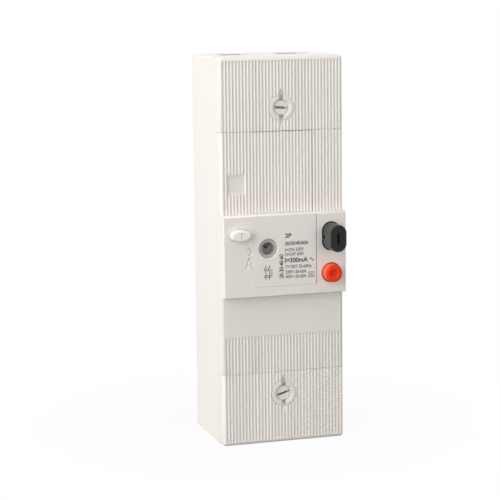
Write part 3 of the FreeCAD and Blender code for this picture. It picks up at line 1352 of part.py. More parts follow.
def rounded_path(points, radius):
    """Straight runs joined by tangent arcs."""
    edges = []
    start = points[0]
    for before, corner, after in zip(points, points[1:], points[2:]):
        back = (before - corner).normalize()
        ahead = (after - corner).normalize()
        half = back.getAngle(ahead) / 2
        tangent = radius / math.tan(half)
        first = corner + back * tangent
        last = corner + ahead * tangent
        bisector = (back + ahead).normalize()
        through = corner + bisector * (radius / math.sin(half) - radius)
        edges.append(Part.makeLine(start, first))
        edges.append(Part.Arc(first, through, last).toShape())
        start = last
    edges.append(Part.makeLine(start, points[-1]))
    return Part.Wire(edges)


def thick_path(path, thickness):
    """Flat face that follows a path, half its thickness on each side."""
    edge = path.makeOffset2D(-thickness / 2, openResult=True)
    return edge.makeOffset2D(thickness, fill=True, openResult=True)


def on_button_spring():
    """Return spring between the floor and the end of the ON stem."""
    length = BACK_INSIDE - STEM_END
    start = V(BUTTON_X, BACK_INSIDE, ON_Z)
    return coil(ON_SPRING, ON_SPRING_WIRE, length, ON_SPRING_TURNS, start, V(0, -1, 0))


def off_button_spring():
    """Return spring between the shelf and the OFF flange."""
    start = V(BUTTON_X, RIM, OFF_Z)
    return coil(OFF_SPRING, OFF_SPRING_WIRE, RIM - FLANGE_BACK, OFF_SPRING_TURNS, start, V(0, -1, 0))


def test_button_spring():
    """Return spring between the shelf and the test flange."""
    start = V(TEST_X, RIM, TEST_Z)
    return coil(TEST_SPRING, TEST_SPRING_WIRE, RIM - FLANGE_BACK, TEST_SPRING_TURNS, start, V(0, -1, 0))


def trip_bar_spring():
    """Return spring round the trip bar, beside its left finger."""
    inner = (TRIP_HUB / 2 + FIT) / math.cos(math.pi / SPRING_SIDE_COUNT)
    mean = 2 * inner + TRIP_SPRING_WIRE
    start = V(POLE_LEFT + FINGER_WIDTH / 2 + FIT, TRIP_Y, TRIP_Z)
    return coil(mean, TRIP_SPRING_WIRE, TRIP_SPRING_LENGTH, TRIP_SPRING_TURNS, start, V(1, 0, 0))


def pieces():
    """Every piece by its name."""
    upper = terminal_cover()
    made = {
        "base": base(),
        "main_cover": main_cover(),
        "upper_terminal_cover": upper,
        "lower_terminal_cover": mirror_z(upper),
        "setting_cover": setting_cover(),
        "label_plate": label_plate(),
        "on_button": on_button(),
        "off_button": off_button(),
        "test_button": test_button(),
        "test_bridge": test_bridge(),
        "test_contacts": test_contacts(),
        "test_resistor": test_resistor(),
        "selector_dial": selector_dial(),
        "sealing_screw_upper": sealing_screw(SEAL_Z, SEAL_UPPER_ANGLE),
        "sealing_screw_lower": sealing_screw(-SEAL_Z, SEAL_LOWER_ANGLE),
        "housing_screws": housing_screws(),
        "terminal_screws": terminal_screws(),
        "fixed_contact_tips": fixed_contact_tips(),
        "contact_carrier": contact_carrier(),
        "moving_contact_tips": moving_contact_tips(),
        "contact_springs": contact_springs(),
        "carrier_axle": carrier_axle(),
        "arc_chute_cheeks": arc_chute_cheeks(),
        "trip_bar": trip_bar(),
        "trip_bar_axle": trip_bar_axle(),
        "trip_bar_spring": trip_bar_spring(),
        "armature_pins": armature_pins(),
        "toroid_core": toroid_core(),
        "secondary_winding": secondary_winding(),
        "sensing_leads": sensing_leads(),
        "trip_relay": trip_relay(),
        "relay_plunger": relay_plunger(),
        "on_button_spring": on_button_spring(),
        "off_button_spring": off_button_spring(),
        "test_button_spring": test_button_spring(),
    }
    for name, side, pole in (("left", -1, POLE_LEFT), ("right", 1, POLE_RIGHT)):
        made["line_terminal_" + name] = terminal(side, 1)
        made["load_terminal_" + name] = terminal(side, -1)
        made["line_strap_" + name] = line_strap(pole)
        made["contact_arm_" + name] = contact_arm(pole)
        made["flexible_braid_" + name] = flexible_braid(pole)
        made["arc_plates_" + name] = arc_plates(pole)
        made["trip_bracket_" + name] = trip_bracket(pole)
        made["bimetal_" + name] = bimetal(pole)
        made["magnet_yoke_" + name] = magnet_yoke(pole)
        made["armature_" + name] = armature(pole)
        made["load_conductor_" + name] = load_conductor(side, pole)
    return made


os.makedirs("parts", exist_ok=True)
for name, shape in pieces().items():
    shape.exportStep("parts/" + name + ".step")
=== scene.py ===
import json
import math

import bmesh
import bpy
from mathutils import Matrix, Vector


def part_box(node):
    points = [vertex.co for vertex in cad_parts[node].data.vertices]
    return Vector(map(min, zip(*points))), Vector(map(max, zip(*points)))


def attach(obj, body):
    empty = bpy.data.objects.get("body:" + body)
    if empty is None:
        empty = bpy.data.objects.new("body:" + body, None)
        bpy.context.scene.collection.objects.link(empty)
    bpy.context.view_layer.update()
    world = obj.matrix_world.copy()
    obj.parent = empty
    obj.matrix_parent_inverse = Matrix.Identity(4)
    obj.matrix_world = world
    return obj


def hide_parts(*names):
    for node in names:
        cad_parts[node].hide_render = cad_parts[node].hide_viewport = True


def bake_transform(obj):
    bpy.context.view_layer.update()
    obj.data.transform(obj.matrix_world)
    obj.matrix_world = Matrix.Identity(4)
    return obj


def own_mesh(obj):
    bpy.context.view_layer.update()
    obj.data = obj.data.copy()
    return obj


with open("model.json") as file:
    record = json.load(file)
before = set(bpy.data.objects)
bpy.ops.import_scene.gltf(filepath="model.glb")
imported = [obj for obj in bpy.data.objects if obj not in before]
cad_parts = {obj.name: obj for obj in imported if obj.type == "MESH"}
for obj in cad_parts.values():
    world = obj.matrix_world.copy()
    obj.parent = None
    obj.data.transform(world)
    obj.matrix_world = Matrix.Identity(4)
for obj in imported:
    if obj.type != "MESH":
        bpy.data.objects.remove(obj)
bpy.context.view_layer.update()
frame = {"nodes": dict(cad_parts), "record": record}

# Two-pole residual current circuit breaker. Lengths are millimetres in the frame of the solids, where nothing
# else is said: X right seen from the front, Z up, Y from the front to the back. MM turns them into metres.
MM = 0.001

# Camera of the photograph, its angles in degrees
FOCAL_PIXELS = 1758.86
IMAGE_PIXELS = 500
SENSOR = 36.0
CAMERA_PLACE = (-272.2, -874.6, 134.3)
CAMERA_YAW = 17.169
CAMERA_PITCH = 8.701
CAMERA_ROLL = 0.650

# Studio. Places and sizes of the lamps are metres.
FLOOR_Z = -97.6
FLOOR_SIZE = 6000.0
FLOOR_GREY = 0.30
FLOOR_FADE = (30.0, 160.0)       # distances from the middle over which the floor turns white
FOOT_WHITE = 0.965               # share of white at the foot of the object
AMBIENT = 0.46
LAMP_AIM = (0.0, -0.03, 0.0)
KEY = {"place": (-0.86, -0.36, 0.32), "size": (0.90, 0.90), "radiance": 3.9}
TOP = {"place": (-0.05, -0.15, 0.95), "size": (0.8, 0.6), "radiance": 1.5}
FRONT = {"place": (0.35, -1.10, 0.08), "size": (0.7, 0.7), "radiance": 1.65}
BACK = {"place": (0.60, 0.95, 0.06), "size": (0.8, 0.3), "radiance": 3.2}

# Planes and places of the solids
PANEL = -53.5
LABEL = -53.62
LABEL_ENDS = (-16.2, 19.1)
LABEL_GAP = (16.08, 16.48)       # sides of the gap at the label's right edge
RIBS = -49.0
RIM = -42.0                      # seat of the OFF and test springs
BACK_INSIDE = -2.5               # seat of the ON spring
BUTTON_X = 24.1
ON_FRONT = -64.5
ON_Z = 7.6
ON_HOLE = -55.4                  # middle of the cross hole through the ON button
ON_HOLE_RADIUS = 1.1
STEM_END = -14.15                # end of the ON button's stem
OFF_FRONT = -58.3
OFF_Z = -10.9
FLANGE_BACK = -49.9              # back of the flange of the OFF and test buttons
TEST_FRONT = -56.5
TEST_X = -23.6
TEST_Z = 10.2
DIAL_X = -8.9
DIAL_Z = 2.8
DIAL_RING = -52.5                # front of the dial, round its cup
DIAL_FLOOR = -49.1               # bottom of the cup
SEAL_HEAD = -48.1                # front of a sealing screw
SEAL_RADIUS = 2.5
SEAL_Z = 72.2
SEALS = (("upper", SEAL_Z), ("lower", -SEAL_Z))
SCREW_PLACES = ((-26.3, -55.2), (-26.3, 55.2), (26.3, -55.2), (26.3, 55.2))
POLES = (("left", -14.0), ("right", 11.0))

# Width of the broken edges
SOFT_EDGES = {
    "main_cover": 0.07,
    "upper_terminal_cover": 0.07,
    "lower_terminal_cover": 0.07,
    "setting_cover": 0.07,
    "base": 0.12,
    "label_plate": 0.07,
    "on_button": 0.12,
    "off_button": 0.12,
    "test_button": 0.08,
    "selector_dial": 0.08,
    "housing_screws": 0.25,
    "sealing_screw_upper": 0.09,
    "sealing_screw_lower": 0.09,
}


# Materials

TONE_EDGE = 0.08                 # half the width over which one tone turns into another


def new_material(name, colour, roughness, metallic=0.0, specular=0.5):
    """Material with its constant values on the shader's own sockets."""
    material = bpy.data.materials.new(name)
    material.use_nodes = True
    tree = material.node_tree
    shader = tree.nodes["Principled BSDF"]
    shader.inputs["Base Color"].default_value = (*colour, 1)
    shader.inputs["Roughness"].default_value = roughness
    shader.inputs["Metallic"].default_value = metallic
    shader.inputs["Specular IOR Level"].default_value = specular
    material.diffuse_color = (*colour, 1)
    return material, tree, shader


def noise(tree, scale, detail, stretch=None):
    """Noise in object coordinates, which are metres; stretch squeezes it along the axes."""
    place = tree.nodes.new("ShaderNodeTexCoord")
    source = place.outputs["Object"]
    if stretch:
        mapping = tree.nodes.new("ShaderNodeMapping")
        mapping.inputs["Scale"].default_value = stretch
        tree.links.new(source, mapping.inputs["Vector"])
        source = mapping.outputs["Vector"]
    texture = tree.nodes.new("ShaderNodeTexNoise")
    texture.inputs["Scale"].default_value = scale
    texture.inputs["Detail"].default_value = detail
    tree.links.new(source, texture.inputs["Vector"])
    return texture.outputs["Fac"]


def vary(tree, factor, low, high, target):
    """Maps a texture onto a range of values."""
    spread = tree.nodes.new("ShaderNodeMapRange")
    spread.inputs["From Min"].default_value = 0.3
    spread.inputs["From Max"].default_value = 0.7
    spread.inputs["To Min"].default_value = low
    spread.inputs["To Max"].default_value = high
    tree.links.new(factor, spread.inputs["Value"])
    tree.links.new(spread.outputs["Result"], target)


def tint(tree, factor, dark, light, target):
    """Colours between two tones by a texture."""
    ramp = tree.nodes.new("ShaderNodeValToRGB")
    ramp.color_ramp.elements[0].position = 0.3
    ramp.color_ramp.elements[1].position = 0.7
    ramp.color_ramp.elements[0].color = (*dark, 1)
    ramp.color_ramp.elements[1].color = (*light, 1)
    tree.links.new(factor, ramp.inputs["Fac"])
    tree.links.new(ramp.outputs["Color"], target)


def bump(tree, height, strength, distance, target):
    node = tree.nodes.new("ShaderNodeBump")
    node.inputs["Strength"].default_value = strength
    node.inputs["Distance"].default_value = distance * MM
    tree.links.new(height, node.inputs["Height"])
    tree.links.new(node.outputs["Normal"], target)


def scaled(colour, factor):
    return tuple(min(1.0, channel * factor) for channel in colour)


def flow_marks(tree, colour, mottle, target):
    """Cloudy tones, as plastic has where it flowed into a mould."""
    clouds = noise(tree, scale=45, detail=4)
    tint(tree, clouds, scaled(colour, 1 - mottle), scaled(colour, 1 + mottle), target)


def moulded(name, colour, roughness, mottle, grain, depth, specular=0.5):
    """Moulded plastic: flow marks in its colour, spark-eroded grain and an uneven sheen."""
    material, tree, shader = new_material(name, colour, roughness, specular=specular)
    flow_marks(tree, colour, mottle, shader.inputs["Base Color"])
    sheen = noise(tree, scale=260, detail=3)
    vary(tree, sheen, roughness - 0.05, roughness + 0.05, shader.inputs["Roughness"])
    pits = noise(tree, scale=1 / (grain * MM), detail=2)
    bump(tree, pits, strength=0.35, distance=depth, target=shader.inputs["Normal"])
    return material


def metal(name, colour, roughness, stretch):
    """Metal with drawn lines along one axis and faint stains."""
    material, tree, shader = new_material(name, colour, roughness, metallic=1.0)
    stains = noise(tree, scale=120, detail=4)
    tint(tree, stains, scaled(colour, 0.88), scaled(colour, 1.04), shader.inputs["Base Color"])
    lines = noise(tree, scale=1500, detail=3, stretch=stretch)
    vary(tree, lines, roughness - 0.08, roughness + 0.1, shader.inputs["Roughness"])
    bump(tree, lines, strength=0.25, distance=0.015, target=shader.inputs["Normal"])
    return material


def ink(name, colour, dark, light, roughness=0.6):
    """Print with a slightly uneven tone."""
    material, tree, shader = new_material(name, colour, roughness, specular=0.3)
    tint(tree, noise(tree, scale=900, detail=3), dark, light, shader.inputs["Base Color"])
    return material


def ahead_of(tree, plane):
    """1 in front of a plane across the depth."""
    place = tree.nodes.new("ShaderNodeTexCoord")
    split = tree.nodes.new("ShaderNodeSeparateXYZ")
    tree.links.new(place.outputs["Object"], split.inputs["Vector"])
    share = tree.nodes.new("ShaderNodeMapRange")
    share.inputs["From Min"].default_value = (plane + TONE_EDGE) * MM
    share.inputs["From Max"].default_value = (plane - TONE_EDGE) * MM
    tree.links.new(split.outputs["Y"], share.inputs["Value"])
    return share.outputs["Result"]


def within(tree, centre, across, radius):
    """1 inside a round bore; across is 1 on the two axes square to the bore. Both signs of a place count."""
    place = tree.nodes.new("ShaderNodeTexCoord")
    source = place.outputs["Object"]
    steps = (
        ("ABSOLUTE", None),
        ("SUBTRACT", [abs(length) * MM for length in centre]),
        ("MULTIPLY", across),
    )
    for operation, value in steps:
        step = tree.nodes.new("ShaderNodeVectorMath")
        step.operation = operation
        tree.links.new(source, step.inputs[0])
        if value:
            step.inputs[1].default_value = value
        source = step.outputs["Vector"]
    reach = tree.nodes.new("ShaderNodeVectorMath")
    reach.operation = "LENGTH"
    tree.links.new(source, reach.inputs[0])
    share = tree.nodes.new("ShaderNodeMapRange")
    share.inputs["From Min"].default_value = (radius + TONE_EDGE) * MM
    share.inputs["From Max"].default_value = (radius - TONE_EDGE / 4) * MM
    tree.links.new(reach.outputs["Value"], share.inputs["Value"])
    return share.outputs["Result"]


def painted_light_tone(material, share, colour, mottle):
    """Painted light or shade on a moulded piece: another tone where share is 1."""
    tree = material.node_tree
    base = tree.nodes["Principled BSDF"].inputs["Base Color"]
    first = base.links[0].from_socket
    mix = tree.nodes.new("ShaderNodeMix")
    mix.data_type = "RGBA"
    tree.links.new(share, mix.inputs["Factor"])
    tree.links.new(first, mix.inputs["A"])
    flow_marks(tree, colour, mottle, mix.inputs["B"])
    tree.links.new(mix.outputs["Result"], base)


IVORY = (0.785, 0.748, 0.705)
JET = (0.0105, 0.0107, 0.011)


def black_plastic():
    """ON button: black front; its grey sides are a painted sheen of the lamps, and its near-black cross hole
    is painted shade.
    """
    # Grey side tone: painted sheen of the lamps, paler than the button's own black front.
    tone = (0.047, 0.046, 0.044)
    material = moulded("black_plastic", tone, 0.32, mottle=0.15, grain=0.25, depth=0.015, specular=0.25)
    tree = material.node_tree
    painted_light_tone(material, ahead_of(tree, ON_FRONT + 0.12), JET, 0.2)
    # Near-black inside the cross hole: painted shade.
    hole = within(tree, (0, ON_HOLE, ON_Z), (0, 1, 1), ON_HOLE_RADIUS)
    painted_light_tone(material, hole, (0.004, 0.004, 0.004), 0.2)
    return material


def red_plastic():
    """OFF button: full red front; its paler sides are a painted sheen of the lamps."""
    # Pale side tone: painted sheen of the lamps; the front keeps the button's own red.
    tone = (0.95, 0.135, 0.075)
    material = moulded("red_plastic", tone, 0.30, mottle=0.04, grain=0.4, depth=0.005, specular=0.08)
    painted_light_tone(material, ahead_of(material.node_tree, OFF_FRONT + 0.75), (0.88, 0.046, 0.010), 0.04)
    return material


def dial_plastic():
    """Dial: paler ring in front and a darker grey-brown cup; the cup's darker tone is painted shade in its
    hollow.
    """
    # Darker grey-brown body, seen in the cup: painted shade in its hollow.
    material = moulded("dial_plastic", (0.33, 0.293, 0.272), 0.55, mottle=0.08, grain=0.25, depth=0.02)
    painted_light_tone(material, ahead_of(material.node_tree, DIAL_RING + 0.3), (0.46, 0.418, 0.39), 0.05)
    return material


def seal_plastic():
    """Sealing screw: ivory, with painted shade deep in its slot."""
    material = moulded("sealing_screw", IVORY, 0.42, mottle=0.012, grain=0.3, depth=0.012)
    tree = material.node_tree
    # Darker tone deep in the slot: painted shade.
    slot = tree.nodes.new("ShaderNodeMath")
    slot.operation = "SUBTRACT"
    slot.use_clamp = True
    tree.links.new(within(tree, (0, 0, SEAL_Z), (1, 0, 1), SEAL_RADIUS), slot.inputs[0])
    tree.links.new(ahead_of(tree, SEAL_HEAD + 0.25), slot.inputs[1])
    painted_light_tone(material, slot.outputs["Value"], (0.31, 0.25, 0.225), 0.2)
    return material


def painted_shade_black():
    """Near-black sheet under the stroke in the ON button: painted shade."""
    material, tree, shader = new_material("black_plastic_painted_shade", (0.003, 0.003, 0.003), 0.8, specular=0.05)
    vary(tree, noise(tree, scale=400, detail=3), 0.7, 0.9, shader.inputs["Roughness"])
    return material


HOUSING = moulded("housing_plastic", IVORY, 0.46, mottle=0.012, grain=0.3, depth=0.012)
SEAL = seal_plastic()
DIAL_MARK = moulded("dial_mark", (0.105, 0.091, 0.085), 0.6, mottle=0.2, grain=0.25, depth=0.02, specular=0.2)
BLACK_FACE = moulded("black_plastic_face", JET, 0.55, mottle=0.2, grain=0.22, depth=0.02, specular=0.22)
# Near-black sheet for the ON button's stroke: painted shade.
STROKE_PAINTED_SHADE = painted_shade_black()
RED_MARK = moulded(
    "red_plastic_mark", (0.42, 0.022, 0.010), 0.45, mottle=0.08, grain=0.4, depth=0.006, specular=0.18
)
INK = ink("label_ink", (0.050, 0.046, 0.044), (0.040, 0.037, 0.035), (0.080, 0.075, 0.072))
PALE_INK = ink("label_ink_pale", (0.16, 0.150, 0.143), (0.13, 0.122, 0.116), (0.22, 0.207, 0.198))
TEST_INK = ink(
    "test_mark_ink", (0.58, 0.51, 0.475), (0.54, 0.475, 0.442), (0.63, 0.555, 0.515), roughness=0.5
)
COPPER = metal("copper", (0.70, 0.33, 0.20), 0.34, (1, 1, 0.06))
STEEL = metal("steel", (0.60, 0.60, 0.595), 0.32, (1, 1, 0.07))

FINISHES = {
    "housing_plastic": HOUSING,
    "label_plastic": moulded(
        "label_plastic", (0.775, 0.742, 0.700), 0.38, mottle=0.008, grain=0.5, depth=0.005
    ),
    "white_plastic": moulded(
        "white_plastic", (0.86, 0.815, 0.775), 0.30, mottle=0.01, grain=0.5, depth=0.006
    ),
    "black_plastic": black_plastic(),
    "red_plastic": red_plastic(),
    "dial_plastic": dial_plastic(),
    "inner_plastic": moulded(
        "inner_plastic", (0.050, 0.047, 0.045), 0.55, mottle=0.2, grain=0.35, depth=0.03
    ),
    "board": moulded("board", (0.30, 0.115, 0.070), 0.65, mottle=0.2, grain=0.5, depth=0.05),
    "resistor": moulded("resistor", (0.10, 0.15, 0.115), 0.28, mottle=0.1, grain=0.6, depth=0.02),
    "core": metal("core", (0.20, 0.20, 0.21), 0.5, (1, 1, 8)),
    "copper": COPPER,
    "brass": metal("brass", (0.72, 0.55, 0.26), 0.30, (1, 1, 0.08)),
    "contact": metal("contact", (0.78, 0.77, 0.74), 0.38, (1, 1, 1)),
    "steel": STEEL,
}


# Solids of the frame

def finish_nodes():
    """Gives each node the finish of its slot."""
    slots = {part["node"]: part["material_slot"] for part in frame["record"]["subparts"]}
    for name, node in frame["nodes"].items():
        node.data.materials.clear()
        node.data.materials.append(SEAL if name.startswith("sealing_screw") else FINISHES[slots[name]])


def soften(name, width):
    """Breaks the sharp edges of a node, as a mould does."""
    node = frame["nodes"][name]
    weld = node.modifiers.new("weld", "WELD")
    weld.merge_threshold = 0.0005 * MM
    flat = node.modifiers.new("flat", "DECIMATE")
    flat.decimate_type = "DISSOLVE"
    flat.angle_limit = math.radians(0.6)
    edge = node.modifiers.new("edge", "BEVEL")
    edge.width = width * MM
    edge.segments = 2
    edge.limit_method = "ANGLE"
    edge.angle_limit = math.radians(40)
    edge.use_clamp_overlap = True
    edge.harden_normals = False


def carve(name, meshes):
    """Cuts a hidden form out of a node."""
    cutter = bpy.data.objects.new(name + "_cutter", joined(meshes))
    bpy.context.scene.collection.objects.link(cutter)
    cutter.hide_render = True
    cut = frame["nodes"][name].modifiers.new("carve", "BOOLEAN")
    cut.operation = "DIFFERENCE"
    cut.solver = "EXACT"
    cut.use_self = True
    cut.object = cutter


# Meshes of the pieces made here

FACE_FRONT = Matrix.Rotation(math.radians(90), 4, "X")     # a flat drawing, stood up to face the front
PRINT = 0.02                     # thickness of print


def link(name, mesh, material, body):
    """New piece that rides on a body, if one is given."""
    piece = bpy.data.objects.new(name, mesh)
    bpy.context.scene.collection.objects.link(piece)
    mesh.materials.clear()
    mesh.materials.append(material)
    if body:
        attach(piece, body)
    return piece


def mesh_of(curve_object):
    """Mesh of a curve or text, which is then removed."""
    bpy.context.view_layer.update()
    graph = bpy.context.evaluated_depsgraph_get()
    mesh = bpy.data.meshes.new_from_object(curve_object.evaluated_get(graph), depsgraph=graph)
    bpy.data.objects.remove(curve_object)
    return mesh


def stand(mesh, y):
    """Stands a flat drawing up with its back at a depth."""
    mesh.transform(Matrix.Translation((0, y * MM, 0)) @ FACE_FRONT @ Matrix.Scale(MM, 4))
    return mesh


def joined(meshes):
    """One mesh of several."""
    whole = bmesh.new()
    for mesh in meshes:
        whole.from_mesh(mesh)
        bpy.data.meshes.remove(mesh)
    mesh = bpy.data.meshes.new("joined")
    whole.to_mesh(mesh)
    whole.free()
    return mesh


def plate(loops, thickness, round_edge=0.0):
    """Flat mesh with holes, from closed loops of (x, z) points, its back at 0."""
    curve = bpy.data.curves.new("plate", "CURVE")
    curve.dimensions = "2D"
    curve.fill_mode = "BOTH"
    curve.extrude = thickness / 2 - round_edge
    curve.bevel_depth = round_edge
    curve.bevel_resolution = 2
    curve.offset = -round_edge
    for loop in loops:
        spline = curve.splines.new("POLY")
        spline.points.add(len(loop) - 1)
        for point, (x, z) in zip(spline.points, loop):
            point.co = (x, z, 0, 1)
        spline.use_cyclic_u = True
    drawing = bpy.data.objects.new("plate", curve)
    bpy.context.scene.collection.objects.link(drawing)
    mesh = mesh_of(drawing)
    mesh.transform(Matrix.Translation((0, 0, thickness / 2)))
    return mesh


def words(text, size, x, z, width, bold, turn=0.0, left=True):
    """Mesh of a short text, its left end or its middle at (x, z), squeezed to a width."""
    curve = bpy.data.curves.new("words", "FONT")
    curve.body = text
    curve.size = size
    curve.extrude = PRINT / 2
    curve.offset = bold
    curve.align_x = "LEFT"
    curve.align_y = "BOTTOM_BASELINE"
    curve.resolution_u = 4
    drawing = bpy.data.objects.new("words", curve)
    bpy.context.scene.collection.objects.link(drawing)
    mesh = mesh_of(drawing)
    xs = [vertex.co.x for vertex in mesh.vertices]
    ys = [vertex.co.y for vertex in mesh.vertices]
    squeeze = width / (max(xs) - min(xs))
    middle = (max(ys) + min(ys)) / 2
    start = min(xs) if left else (min(xs) + max(xs)) / 2
    mesh.transform(Matrix.Translation((-start, -middle, PRINT / 2)))
    mesh.transform(Matrix.Diagonal((squeeze, 1, 1, 1)))
    mesh.transform(Matrix.Translation((x, z, 0)) @ Matrix.Rotation(math.radians(turn), 4, "Z"))
    return mesh


def tube(rings):
    """Closed tube through rings of points."""
    mesh = bmesh.new()
    made = [[mesh.verts.new(point * MM) for point in ring] for ring in rings]
    for low, high in zip(made, made[1:]):
        for side in range(len(low)):
            after = (side + 1) % len(low)
            mesh.faces.new((low[side], low[after], high[after], high[side]))
    mesh.faces.new(list(reversed(made[0])))
    mesh.faces.new(made[-1])
    bmesh.ops.recalc_face_normals(mesh, faces=mesh.faces)
    for face in mesh.faces:
        face.smooth = True
    result = bpy.data.meshes.new("tube")
    mesh.to_mesh(result)
    mesh.free()
    return result


def vee(start, end, width, face, depth):
    """Wedge that carves a stroke with sloping sides into a face."""
    a, b = Vector(start), Vector(end)
    side = (b - a).normalized().orthogonal() * width
    outside, tip = face - depth, face + depth
    rings = []
    for point in (a, b):
        left, right = point + side, point - side
        corners = ((left.x, outside, left.y), (right.x, outside, right.y), (point.x, tip, point.y))
        rings.append([Vector(corner) for corner in corners])
    mesh = tube(rings)
    mesh.shade_flat()
    return mesh


# Outlines of (x, z) points

def steps_of(count):
    """Angles evenly round a circle."""
    return [2 * math.pi * step / count for step in range(count)]


def ellipse_loop(half_x, half_z, x, z, steps):
    return [(x + half_x * math.cos(angle), z + half_z * math.sin(angle)) for angle in steps_of(steps)]


def circle_loop(radius, x, z):
    return ellipse_loop(radius, radius, x, z, 48)


def stadium_loop(width, height, x, z, steps):
    """Upright oblong with round ends."""
    radius = width / 2
    straight = height / 2 - radius
    loop = []
    for start, shift in ((0, straight), (math.pi, -straight)):
        for step in range(steps + 1):
            angle = start + math.pi * step / steps
            loop.append((x + radius * math.cos(angle), z + shift + radius * math.sin(angle)))
    return loop


def arc_loop(inner, outer, z, middle, sweep, steps):
    """Part of a ring round the middle of the part's width, its angles in degrees."""
    angles = [math.radians(middle - sweep / 2 + sweep * step / steps) for step in range(steps + 1)]
    loop = [(outer * math.cos(angle), z + outer * math.sin(angle)) for angle in angles]
    return loop + [(inner * math.cos(angle), z + inner * math.sin(angle)) for angle in reversed(angles)]


def box_loop(sides, ends):
    (left, right), (first, last) = sides, ends
    return [(left, first), (right, first), (right, last), (left, last)]


def strip_loop(start, end, width):
    """Outline of a straight stroke."""
    a, b = Vector(start), Vector(end)
    side = (b - a).normalized().orthogonal() * width / 2
    return [tuple(a + side), tuple(a - side), tuple(b - side), tuple(b + side)]


# Relief of the panel, the sealing wells and the screws

CARVED = 0.65                    # depth of the signs in the panel
PANEL_STROKES = (                # start, end and width of each stroke: an arrow head above an A
    ((-19.75, 3.85), (-17.15, 1.60), 1.35),
    ((-17.15, 1.60), (-19.05, -0.28), 1.35),
    ((-20.45, -6.60), (-18.65, -1.30), 1.35),
    ((-18.65, -1.30), (-16.85, -6.60), 1.35),
    ((-19.80, -4.85), (-17.50, -4.85), 1.05),
)
RAMP_END = (3.9, 5.3)            # reach of the deep end of a ramp, from the axis of the sealing screw
RAMP_SIDES = (-1.15, 1.15)
RAMP_FLOOR = 2.9                 # floor of the deep end, behind the ribs
RAMP_CUT = 2.5                   # thickness of what is cut away there
RING_INNER = 5.5
RING_OUTER = 6.25
RING_SWEEP = 132                 # degrees of each half of the ring round a sealing screw
RING_THICK = 0.6
RING_BACK = 0.65                 # back of the ring, behind the front of the ribs
CROSS_ARM = 1.75
CROSS_WIDE = 1.05
CROSS_DEEP = 1.7
CROSS_TURN = 25                  # degrees of the first screw, and from each screw to the next
CROSS_STEP = 40
SCREW_FACE = -0.1


def carve_panel():
    """Arrow and setting mark sunk into the panel, and the gap beside the label."""
    cutters = [vee(*stroke, PANEL, CARVED) for stroke in PANEL_STROKES]
    cutters.append(stand(plate([box_loop(LABEL_GAP, LABEL_ENDS)], 2 * CARVED), PANEL + CARVED))
    carve("main_cover", cutters)


def carve_screws():
    """Cross recesses in the heads of the four housing screws, each turned its own way."""
    recesses = []
    for number, place in enumerate(SCREW_PLACES):
        for turn in (0, 90):
            angle = math.radians(CROSS_TURN + CROSS_STEP * number + turn)
            reach = Vector((math.cos(angle), math.sin(angle))) * CROSS_ARM
            start, end = Vector(place) - reach, Vector(place) + reach
            recesses.append(vee(start, end, CROSS_WIDE, SCREW_FACE, -CROSS_DEEP))
    carve("housing_screws", recesses)


def carve_seals():
    """Deep ends of the ramps beside the sealing screws, where the sealing wire goes in."""
    for name, z in SEALS:
        holes = []
        for end in (-1, 1):
            ends = sorted(z + end * reach for reach in RAMP_END)
            holes.append(stand(plate([box_loop(RAMP_SIDES, ends)], RAMP_CUT), RIBS + RAMP_FLOOR))
        carve(name + "_terminal_cover", holes)


def add_seal_rims():
    """Thin raised arcs round the sealing screws."""
    for name, z in SEALS:
        loops = [arc_loop(RING_INNER, RING_OUTER, z, middle, RING_SWEEP, 32) for middle in (0, 180)]
        arcs = [plate([loop], RING_THICK, round_edge=0.15) for loop in loops]
        link("seal_rim_" + name, stand(joined(arcs), RIBS + RING_BACK), HOUSING, "housing")


# Signs on the dial, the buttons and the label

PRINT_SUNK = 0.01                # how far print goes into what carries it
DIAL_POINT = (0.33, -0.1)        # point of the dial's arrow head, from the axis of the dial
DIAL_TAILS = ((-0.95, 0.5), (1.1, 1.9))
DIAL_STROKE = 0.85
DIAL_PRINT = 0.04                # thickness of that print
ON_FACE = (6.05, 11.05)          # width and height of the face let into the ON button
ON_STROKE = (1.15, 6.0)          # and of the stroke in it
ON_INSET = 0.4                   # back of that face, behind the front of the button
OFF_RING = (1.30, 0.95)          # outer and inner radius
OFF_INSET = 0.63

SIGN_LINES = (-10.4, -8.5)       # the two lines of the circuit sign
SIGN_STROKE = 0.36
SIGN_RING = (-9.45, -11.0)       # middle of its sensing ring
SIGN_HALVES = ((1.9, 0.62), (1.58, 0.32))      # outer and inner half axes of the ring
WAVE_PLACE = (12.7, -3.6)
WAVE_LENGTH = 2.2
WAVE_HEIGHT = 0.75
WAVE_STEPS = 20
FRAME_SIDES = (11.9, 15.0)
FRAME_ENDS = (-9.9, -12.7)
FRAME_LINE = 0.3
FRAME_ROWS = (-10.9, -11.8)      # lines of print in the frame
ROW_ENDS = (12.5, 14.4)
ROW_STROKE = 0.42


def add_selector_mark():
    """Printed arrow head in the cup of the dial."""
    axis = Vector((DIAL_X, DIAL_Z))
    point = axis + Vector(DIAL_POINT)
    outlines = [strip_loop(point, axis + Vector(tail), DIAL_STROKE) for tail in DIAL_TAILS]
    strokes = [plate([outline], DIAL_PRINT) for outline in outlines]
    link("selector_mark", stand(joined(strokes), DIAL_FLOOR), DIAL_MARK, "selector")


def add_test_mark():
    mark = words("T", 4.6, TEST_X - 0.1, TEST_Z, width=2.7, bold=-0.03, left=False)
    link("test_mark", stand(mark, TEST_FRONT + PRINT_SUNK), TEST_INK, "test_button")


